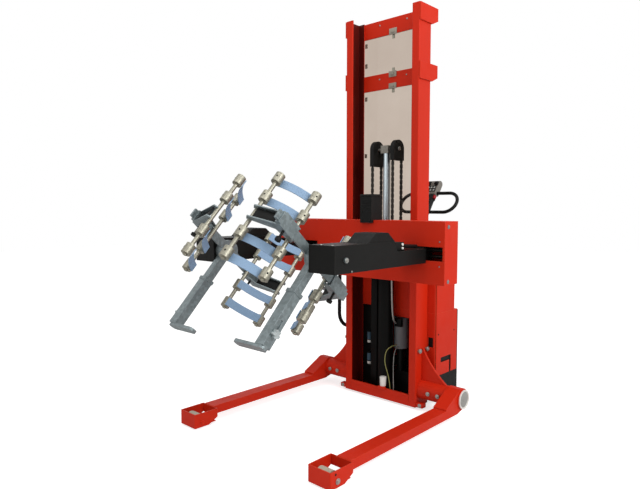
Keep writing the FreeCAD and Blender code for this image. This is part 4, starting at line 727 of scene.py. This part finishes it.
# %% Chain runs
TAB_TOP = 0.845
ANCHOR_TOP = 0.9
FRONT_Y = PULLEY_AXIS.y - CHAIN_RADIUS
REAR_Y = PULLEY_AXIS.y + CHAIN_RADIUS
front_links = bmesh.new()
rear_links = bmesh.new()
wrap_links = bmesh.new()
WRAP_COUNT = 9
for out in (-CHAIN_OUT, CHAIN_OUT):
    straight_run(front_links, out, FRONT_Y, TAB_TOP, PULLEY_AXIS.z)
    straight_run(rear_links, out, REAR_Y, ANCHOR_TOP, PULLEY_AXIS.z)
    step = math.pi / WRAP_COUNT
    for number in range(WRAP_COUNT):
        first = math.pi - number * step
        spot = PULLEY_AXIS + Vector((out, CHAIN_RADIUS * math.cos(first), CHAIN_RADIUS * math.sin(first)))
        middle = first - step / 2
        link(wrap_links, spot, (0, math.sin(middle), -math.cos(middle)), number, 2 * CHAIN_RADIUS * math.sin(step / 2))
front_chain = piece("front_leaf_chains", front_links, chain_steel, None)
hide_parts("front_chains")
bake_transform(front_chain)
rear_chain = piece("rear_leaf_chains", rear_links, chain_steel, None)
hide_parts("rear_chains")
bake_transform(rear_chain)
piece("pulley_chain_wrap", wrap_links, chain_steel, "lift_head")
print("chain faces:", len(front_chain.data.polygons) + len(rear_chain.data.polygons))

# %% [markdown]
# ## Hose
# The hose hangs in a loop from the carriage to a clip on the mast. Its low point moves half as far as the carriage,
# which is what the lift head does.

# %% Hose
HOSE_RADIUS = 0.012
HOSE_X = -0.403
HOSE_LOW = 0.376
CLIP_HEIGHT, TAB_HEIGHT = 1.060, 0.788
MOVING_ROUTE = [(HOSE_X, 1.001, TAB_HEIGHT), (HOSE_X, 0.999, 0.640), (HOSE_X, 0.997, 0.5231),
                (HOSE_X, 0.997, 0.4369), (HOSE_X, 1.0579, HOSE_LOW), (HOSE_X, 1.101, HOSE_LOW)]
FIXED_ROUTE = [(HOSE_X, 1.201, CLIP_HEIGHT), (HOSE_X, 1.203, 0.780), (HOSE_X, 1.205, 0.5231),
               (HOSE_X, 1.205, 0.4369), (HOSE_X, 1.1441, HOSE_LOW), (HOSE_X, 1.101, HOSE_LOW)]


def route_mesh(name, route, radius):
    """The mesh of a smooth NURBS line along a route, as thick as asked."""
    data = bpy.data.curves.new(name, "CURVE")
    data.dimensions = "3D"
    data.resolution_u = 12
    data.bevel_depth = radius
    data.bevel_resolution = 5
    data.use_fill_caps = True
    spline = data.splines.new("NURBS")
    spline.points.add(len(route) - 1)
    for point, place in zip(spline.points, route):
        point.co = (*place, 1)
    spline.order_u = 3
    spline.use_endpoint_u = True
    curve = placed(name, data)
    mesh = bpy.data.meshes.new_from_object(curve)
    bpy.data.objects.remove(curve)
    return mesh


def tube(name, route, radius, material):
    """A mesh tube along a route, and the points of its middle line."""
    points = [tuple(vert.co) for vert in route_mesh(name + "_line", route, 0).vertices]
    data = route_mesh(name + "_thick", route, radius)
    data.name = name
    data.shade_smooth()
    data.materials.clear()
    data.materials.append(material)
    thing = placed(name, data)
    return thing, points


def run_length(points):
    """The length of a line through points."""
    return sum((Vector(end) - Vector(start)).length for start, end in zip(points, points[1:]))


moving_leg, moving_points = tube("hose_to_carriage", MOVING_ROUTE, HOSE_RADIUS, hose_rubber)
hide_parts("hose_moving_leg")
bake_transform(moving_leg)
fixed_leg, fixed_points = tube("hose_to_mast", FIXED_ROUTE, HOSE_RADIUS, hose_rubber)
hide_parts("hose_fixed_leg")
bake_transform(fixed_leg)
print("hose length:", round(run_length(moving_points) + run_length(fixed_points), 3), "m")

# %% [markdown]
# ## Bolts on the frame
# Bolts hold the leg tubes, and two more stand on the side of each upright. The carriage has plugged holes on its side
# flanges and small screws on its front.

# %% Frame bolts
UPRIGHT_SIDE, SIDE_BOLT_Z = 0.280, 0.346
TUBE_FRONT, TUBE_BOLT_Z = 0.906, 0.112
frame_bolts = bmesh.new()
for sign in (-1, 1):
    for y in (0.928, 1.007):
        bolt(frame_bolts, (sign * UPRIGHT_SIDE, y, SIDE_BOLT_Z), (sign, 0, 0), across=0.0165, height=0.005)
    for out in (0.345, 0.408):
        bolt(frame_bolts, (sign * out, TUBE_FRONT, TUBE_BOLT_Z), (0, -1, 0), across=0.0145, height=0.005)
piece("frame_bolts", frame_bolts, bolt_zinc, "chassis")

CARRIAGE_FRONT, CARRIAGE_SIDE = 0.640, 0.600
SCREW_OUT, PLUG_Y, PLUG_RIM = 0.570, 0.675, 0.0016
carriage_screws = bmesh.new()
for height in (1.008, 0.883):
    for spot in both((SCREW_OUT, CARRIAGE_FRONT, height)):
        button(carriage_screws, spot, (0, -1, 0), radius=0.0040, height=0.0024)
piece("carriage_screws", carriage_screws, cast_grey, "carriage")
side_plugs = bmesh.new()
for height in (1.083, 0.806):
    for sign in (-1, 1):
        plug_place = facing((sign * CARRIAGE_SIDE, PLUG_Y, height), (sign, 0, 0))
        disc(side_plugs, plug_place, 0.0105, height=PLUG_RIM, sides=20, bevel=0.0006)
        disc(side_plugs, raised(plug_place, PLUG_RIM), 0.0062, height=0.0014, sides=6, bevel=0.0004)
piece("carriage_side_plugs", side_plugs, cast_grey, "carriage")

# %% [markdown]
# ## Screen hooks
# Grey hooks on the crossmembers hold the edges of the screen. A small screw stands on each side of them.

# %% Screen hooks
YOKE_FACE = 1.022
HOOK_HALF, TONGUE_HALF = 0.028, 0.012
HOOK_DEPTH, TONGUE_FRONT, TONGUE_BACK, TONGUE_INSET = 0.005, 0.009, 0.004, 0.010
YOKE_SCREW_OUT = 0.100
hooks = bmesh.new()
for low, high in ((2.224, 2.262), (1.972, 2.008), (1.901, 1.936)):
    block(hooks, (-HOOK_HALF, YOKE_FACE - HOOK_DEPTH, low), (HOOK_HALF, YOKE_FACE, high), bevel=0.002)
    block(hooks, (-TONGUE_HALF, YOKE_FACE - TONGUE_FRONT, low + TONGUE_INSET),
          (TONGUE_HALF, YOKE_FACE - TONGUE_BACK, high - TONGUE_INSET), bevel=0.002)
piece("screen_hooks", hooks, hook_grey, "chassis")
yoke_screws = bmesh.new()
for height in (2.297, 1.971):
    for spot in both((YOKE_SCREW_OUT, YOKE_FACE, height)):
        button(yoke_screws, spot, (0, -1, 0), radius=0.0048, height=0.0026)
piece("crossmember_screws", yoke_screws, grey_plastic, "chassis")

# %% [markdown]
# ## Arms
# Welds run down the front corners of each arm, and a capped bolt closes the end of the tipping shaft. A plug block
# with two white plugs and a cable sleeve stands behind the motor cover.

# %% Arm details
ARM_INNER, ARM_OUTER, ARM_NOSE = 0.345, 0.495, -0.069
ARM_BOTTOM, ARM_TOP, TAIL_TOP = 0.897, 1.020, 0.971
BEAD_RADIUS, BEAD_STEP = 0.0026, 0.0042
PLUGS_INNER, PLUGS_OUTER, PLUGS_FRONT, PLUGS_REAR, PLUGS_TOP = 0.425, 0.474, 0.398, 0.470, 1.012
SLEEVE_OUT, SLEEVE_Z, SLEEVE_LEAN = 0.455, 0.992, -0.06
SHAFT_END = 0.504
for side, sign in (("left", 1), ("right", -1)):
    body = side + "_arm"
    weld = bmesh.new()
    for out in (ARM_INNER, ARM_OUTER):
        for number in range(int((ARM_TOP - ARM_BOTTOM) / BEAD_STEP)):
            height = ARM_BOTTOM + (number + 0.5) * BEAD_STEP
            bmesh.ops.create_icosphere(weld, subdivisions=1, radius=BEAD_RADIUS,
                                       matrix=Matrix.Translation((sign * out, ARM_NOSE, height)))
    piece(side + "_arm_weld", weld, black_paint, body)
    screws = bmesh.new()
    for out in (0.405, 0.470):
        button(screws, (sign * out, -0.055, ARM_TOP), (0, 0, 1), radius=0.0055, height=0.0035)
    button(screws, (sign * ARM_OUTER, 0.043, ARM_BOTTOM + 0.006), (sign, 0, 0), radius=0.0042, height=0.0028)
    piece(side + "_arm_screws", screws, bolt_zinc, body)
    plugs = bmesh.new()
    low, high = sorted((sign * PLUGS_INNER, sign * PLUGS_OUTER))
    block(plugs, (low, PLUGS_FRONT, TAIL_TOP), (high, PLUGS_REAR, PLUGS_TOP), bevel=0.003)
    sleeve_place = facing((sign * SLEEVE_OUT, PLUGS_REAR, SLEEVE_Z), (0, 1, SLEEVE_LEAN))
    disc(plugs, sleeve_place, 0.009, height=0.135, sides=16, bevel=0.002)
    piece(side + "_plug_block", plugs, black_plastic, body)
    white = bmesh.new()
    for height in (1.001, 0.982):
        disc(white, facing((sign * PLUGS_OUTER, 0.452, height), (sign, 0, 0)), 0.0065, height=0.006, sides=14,
             bevel=0.0015)
    piece(side + "_plugs", white, white_plastic, body)
    cap = bmesh.new()
    bolt(cap, (sign * SHAFT_END, 0, AXIS.z), (sign, 0, 0), across=0.0125, height=0.004)
    piece(side + "_shaft_cap", cap, bolt_zinc, side + "_head")

# %% [markdown]
# ## Clamp motor
# The motor that drives the clamp screw stands on the carriage and hangs over its front. It gets a lid, cooling ribs
# and four screws.

# %% Clamp motor details
MOTOR_LOW = Vector((0.073, 0.622, 1.096))
MOTOR_HIGH = Vector((0.152, 0.717, 1.251))
LID_OVER, LID_BELOW, LID_ABOVE = 0.002, 0.012, 0.003
RIBS, RIB_START, RIB_STEP, RIB_HEIGHT, RIB_INSET = 6, 1.176, 0.009, 0.004, 0.008
SCREW_INSET = 0.012
motor_trim = bmesh.new()
block(motor_trim, (MOTOR_LOW.x - LID_OVER, MOTOR_LOW.y - LID_OVER, MOTOR_HIGH.z - LID_BELOW),
      (MOTOR_HIGH.x + LID_OVER, MOTOR_HIGH.y + LID_OVER, MOTOR_HIGH.z + LID_ABOVE), bevel=0.004)
for number in range(RIBS):
    height = RIB_START + number * RIB_STEP
    block(motor_trim, (MOTOR_LOW.x + RIB_INSET, MOTOR_LOW.y - 0.003, height),
          (MOTOR_HIGH.x - RIB_INSET, MOTOR_LOW.y + 0.001, height + RIB_HEIGHT), bevel=0.001)
piece("clamp_motor_trim", motor_trim, black_paint, "carriage")
motor_screws = bmesh.new()
for out in (MOTOR_LOW.x + SCREW_INSET, MOTOR_HIGH.x - SCREW_INSET):
    for height in (1.108, 1.156):
        button(motor_screws, (out, MOTOR_LOW.y, height), (0, -1, 0), radius=0.0045, height=0.004)
piece("clamp_motor_screws", motor_screws, black_paint, "carriage")

# %% [markdown]
# ## Lift head
# A nut on each end of the pulley axle holds the chain guards.

# %% Pulley axle nuts
GUARD_FACE = 0.0886
axle_nuts = bmesh.new()
for spot in both((-GUARD_FACE, PULLEY_AXIS.y, PULLEY_AXIS.z)):
    disc(axle_nuts, facing(spot, away(spot)), 0.0125, height=0.006, sides=6, bevel=0.0012)
piece("axle_nuts", axle_nuts, bolt_zinc, "lift_head")

# %% [markdown]
# ## Power pack
# Blue coils with white caps, black cable boxes, a pump body and a drip cup on a small bracket show in the mast.
# A thin black sheet behind them paints the shade inside the housing.

# %% Power pack details
COIL_PLACE = (-0.156, 1.0087)
COIL_FEET = (0.318, 0.180)
COIL_UP, CAP_DOWN = 0.018, 0.003
coils = bmesh.new()
coil_caps = bmesh.new()
for foot in COIL_FEET:
    disc(coils, Matrix.Translation((*COIL_PLACE, foot + COIL_UP)), 0.0155, height=0.048, sides=20, bevel=0.003)
    disc(coil_caps, Matrix.Translation((*COIL_PLACE, foot - CAP_DOWN)), 0.0142, height=0.016, sides=16, bevel=0.002)
piece("solenoid_coils", coils, coil_blue, "chassis")
piece("solenoid_caps", coil_caps, white_plastic, "chassis")
CUP_FOOT = (0.030, 0.9045, 0.0940)
cup = bmesh.new()
disc(cup, Matrix.Translation(CUP_FOOT), 0.018, height=0.057, bevel=0.003, top=0.0205)
piece("drip_cup", cup, white_plastic, "chassis")
PUMP_FOOT = (0.060, 1.048, 0.1725)
pack_blocks_and_shade_sheet = bmesh.new()
block(pack_blocks_and_shade_sheet, (0.052, 0.990, 0.450), (0.100, 1.012, 0.503), bevel=0.004)
# This thin black sheet behind the power pack is painted shade for the inside of the housing.
block(pack_blocks_and_shade_sheet, (-0.215, 1.0138, 0.176), (-0.098, 1.0218, 0.556), bevel=0.003)
block(pack_blocks_and_shade_sheet, (-0.104, 0.952, 0.090), (-0.056, 0.986, 0.800), bevel=0.005)
disc(pack_blocks_and_shade_sheet, Matrix.Translation(PUMP_FOOT), 0.0245, height=0.137, sides=28, bevel=0.001)
piece("cable_boxes_and_shade_sheet", pack_blocks_and_shade_sheet, shaded_black, "chassis")
tray = bmesh.new()
block(tray, (-0.2165, 0.9112, 0.074), (0.2165, 0.9180, 0.079), bevel=0.001)
block(tray, (0.006, 0.8835, 0.078), (0.054, 0.9012, 0.0938), bevel=0.0015)
piece("sill_tray", tray, red_paint, "chassis")

# %% [markdown]
# The pressure pipe is a bent steel tube from the pump to the side of the cylinder. Two wires, one of them for earth,
# come up from the base plate to the motor. All three follow smooth lines through a few points.

# %% Pipe and wires
PIPE_RADIUS = 0.0065
PIPE_ROUTE = [(0.062, 1.003, 0.470), (0.060, 0.985, 0.470), (0.056, 0.958, 0.520), (0.054, 0.952, 0.800),
              (0.054, 0.952, 1.045), (0.054, 0.955, 1.072), (0.040, 0.960, 1.072)]
pipe, pipe_points = tube("pressure_pipe", PIPE_ROUTE, PIPE_RADIUS, bolt_zinc)
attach(pipe, "chassis")
print("pipe length:", round(run_length(pipe_points), 3), "m")
WIRE_RADIUS = 0.0026
EARTH_ROUTE = [(0.068, 0.930, 0.034), (0.066, 0.928, 0.100), (0.054, 0.921, 0.170), (0.030, 0.916, 0.240),
               (0.036, 0.926, 0.312), (0.056, 0.962, 0.334), (0.060, 1.004, 0.334)]
FEED_ROUTE = [(0.084, 0.938, 0.034), (0.084, 0.938, 0.130), (0.078, 0.942, 0.240), (0.074, 0.966, 0.322),
              (0.072, 1.006, 0.326)]
earth_green = moulded("earth_wire", linear(150, 150, 92), 0.5, pits=0.08)
for name, route, material in (("earth_wire", EARTH_ROUTE, earth_green), ("feed_wire", FEED_ROUTE, grey_plastic)):
    wire, wire_points = tube(name, route, WIRE_RADIUS, material)
    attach(wire, "chassis")
    print(name, "length:", round(run_length(wire_points), 3), "m")

# %% [markdown]
# ## Foot of the mast
# A small bracket with a bolt stands on each side of the base plate, and thin black sheets behind the openings of
# the lower cover paint the shade inside them.

# %% Base brackets and shade sheets behind the cover
BRACKET_FRONT = 0.905
brackets = bmesh.new()
block_pair(brackets, (0.2662, BRACKET_FRONT, 0.017), (0.312, 0.945, 0.044), bevel=0.004)
piece("base_brackets", brackets, red_paint, "chassis")
bracket_bolts = bmesh.new()
for spot in both((-0.292, BRACKET_FRONT, 0.031)):
    bolt(bracket_bolts, spot, (0, -1, 0), across=0.014, height=0.006)
piece("base_bolts", bracket_bolts, bolt_zinc, "chassis")
opening_shade_sheets = bmesh.new()
# These thin black sheets are painted shade behind the cover's openings.
block_pair(opening_shade_sheets, (0.3168, 1.072, 0.180), (0.3184, 1.204, 0.300), bevel=0.0004)
block_pair(opening_shade_sheets, (0.268, 1.0254, 0.345), (0.310, 1.0272, 0.421), bevel=0.0004)
piece("cover_opening_shade", opening_shade_sheets, black_plastic, "chassis")

# %% [markdown]
# ## Leg ends
# A pale cap closes each leg tube, and a snap ring shows on the outer end of each roller axle, with a cross rod and a
# black disc above it that paints the shade of a hole. A plate closes each roller box from below behind its roller.

# %% Leg ends
TUBE_END = (-0.540, 0.968, 0.112)
CAP_RADIUS, CAP_HEIGHT = 0.0535, 0.006
CAP_RIM, CAP_SLOPE, CAP_HOLLOW = 0.008, 0.002, 0.005
cap_rims = bmesh.new()
cap_discs = bmesh.new()
for spot in both(TUBE_END):
    cap_place = facing(spot, away(spot))
    made = bmesh.ops.create_circle(cap_rims, cap_ends=True, radius=CAP_RADIUS, segments=40, matrix=cap_place)
    _, lid = grow(cap_rims, made["verts"][0].link_faces[0], Vector(away(spot)) * CAP_HEIGHT)
    bmesh.ops.inset_region(cap_rims, faces=lid, thickness=CAP_RIM)
    bmesh.ops.inset_region(cap_rims, faces=lid, thickness=CAP_SLOPE, depth=-CAP_HOLLOW)
    disc(cap_discs, raised(cap_place, 0.0011), 0.0432, height=0.0016, sides=32, bevel=0.0005)
    disc(cap_discs, raised(cap_place, 0.0026), 0.012, height=0.0012, sides=16, bevel=0.0004)
piece("tube_cap_rims", cap_rims, white_plastic, "chassis")
piece("tube_cap_discs", cap_discs, grey_plastic, "chassis")
ROLLER_AXIS = (0.554, -0.107, 0.036)
ROD_LENGTH, ROD_INNER, ROD_Y, ROD_Z = 0.121, 0.421, -0.134, 0.068
rings = bmesh.new()
for spot in both(ROLLER_AXIS):
    ring_place = facing(spot, away(spot))
    disc(rings, raised(ring_place, -0.006), 0.0135, height=0.003, bevel=0.0008)
    disc(rings, raised(ring_place, -0.002), 0.0092, height=0.0028, sides=20, bevel=0.0012)
    rod_place = facing((math.copysign(ROD_INNER, spot[0]), ROD_Y, ROD_Z), away(spot))
    disc(rings, rod_place, 0.005, height=ROD_LENGTH, sides=14, bevel=0.0006)
piece("axle_rings", rings, bolt_zinc, "chassis")
box_plates = bmesh.new()
block_pair(box_plates, (0.424, -0.064, 0.0125), (0.539, -0.0105, 0.0165), bevel=0.001)
piece("roller_box_plates", box_plates, red_paint, "chassis")
# A flat black disc on each box stands for a hole: painted shade.
hole_shade_discs = bmesh.new()
for spot in both((0.548, -0.120, 0.069)):
    disc(hole_shade_discs, facing(spot, away(spot)), 0.0055, height=0.0008, sides=16, bevel=0.0002)
piece("roller_box_hole_shade", hole_shade_discs, black_plastic, "chassis")

# %% [markdown]
# ## Tiller
# The head carries a black panel with pale buttons, two ribbed thumb wheels, a strip on its top, a black block below
# and a red button beside that. It is drawn upright on the tiller's own axis and leaned back with it.

# %% Tiller head details
TILLER = Matrix.Translation((0, 1.225, 0.910)) @ Matrix.Rotation(math.radians(-35), 4, "X")
HEAD_LOW, HEAD_HIGH, HEAD_FACE = 0.424, 0.540, -0.023
WHEEL_RADIUS, WHEEL_WIDTH, WHEEL_OUT, WHEEL_HEIGHT = 0.0155, 0.022, 0.027, 0.508
GRIPS, GRIP_START, GRIP_LENGTH = 12, 0.004, 0.014
PANEL_HALF, PANEL_PROUD = 0.034, 0.0025
controls = bmesh.new()
for sign in (-1, 1):
    wheel_place = TILLER @ facing((sign * WHEEL_OUT - WHEEL_WIDTH / 2, HEAD_FACE, WHEEL_HEIGHT), (1, 0, 0))
    disc(controls, wheel_place, WHEEL_RADIUS, WHEEL_WIDTH, bevel=0.003)
    for number in range(GRIPS):
        turn = math.tau * number / GRIPS
        spot = wheel_place @ Vector((WHEEL_RADIUS * math.cos(turn), WHEEL_RADIUS * math.sin(turn), GRIP_START))
        grip_place = Matrix.LocRotScale(spot, wheel_place.to_quaternion(), None)
        disc(controls, grip_place, 0.0016, height=GRIP_LENGTH, sides=6)
block(controls, (-PANEL_HALF, HEAD_FACE - PANEL_PROUD, HEAD_LOW + 0.018), (PANEL_HALF, HEAD_FACE + 0.001, 0.490),
      bevel=0.001, place=TILLER)
block(controls, (-PANEL_HALF, -0.004, HEAD_HIGH - 0.001), (PANEL_HALF, 0.004, HEAD_HIGH + 0.002), bevel=0.001,
      place=TILLER)
block(controls, (-0.030, 0.006, HEAD_LOW - 0.030), (0.030, 0.024, HEAD_LOW + 0.004), bevel=0.004, place=TILLER)
piece("tiller_controls", controls, black_plastic, "tiller")
keys = bmesh.new()
for out in (-0.022, 0, 0.022):
    for height in (0.453, 0.475):
        key_place = TILLER @ facing((out, HEAD_FACE - PANEL_PROUD, height), (0, -1, 0))
        disc(keys, key_place, 0.0072, height=0.003, sides=18, bevel=0.001)
piece("tiller_keys", keys, grey_plastic, "tiller")
low_button = bmesh.new()
button_place = TILLER @ facing((0.030, 0.002, HEAD_LOW + 0.001), (0, 0, -1))
disc(low_button, button_place, 0.0125, height=0.022, bevel=0.003)
piece("tiller_low_button", low_button, signal_red, "tiller")

# %% [markdown]
# ## Rear body
# Panel screws, cooling ribs and a mushroom stop button give the back its scale.

# %% Rear body details
BODY_SIDE, PANEL_REAR = 0.325, 1.282
body_screws = bmesh.new()
for y, height in ((1.049, 0.431), (1.229, 0.432), (1.06, 0.800), (1.20, 0.800)):
    for spot in both((BODY_SIDE, y, height)):
        button(body_screws, spot, away(spot), radius=0.0045, height=0.0025)
for out in (-0.29, 0.29):
    for height in (0.13, 0.51):
        button(body_screws, (out, PANEL_REAR, height), (0, 1, 0), radius=0.006, height=0.003)
piece("body_screws", body_screws, black_plastic, "chassis")
COOLING_RIBS, COOLING_START, COOLING_STEP, COOLING_HALF = 7, 0.40, 0.012, 0.12
cooling = bmesh.new()
for number in range(COOLING_RIBS):
    height = COOLING_START + number * COOLING_STEP
    block(cooling, (-COOLING_HALF, PANEL_REAR - 0.001, height), (COOLING_HALF, PANEL_REAR + 0.003, height + 0.006),
          bevel=0.0012)
piece("cooling_ribs", cooling, black_plastic, "chassis")
STOP_FOOT, STOP_NECK = (0.19, 1.09, 0.840), 0.012
stop = bmesh.new()
stop_place = Matrix.Translation(STOP_FOOT)
disc(stop, stop_place, 0.012, height=STOP_NECK, sides=20, bevel=0.001)
disc(stop, raised(stop_place, STOP_NECK), 0.0195, height=0.011, sides=28, bevel=0.004)
piece("stop_button", stop, signal_red, "chassis")
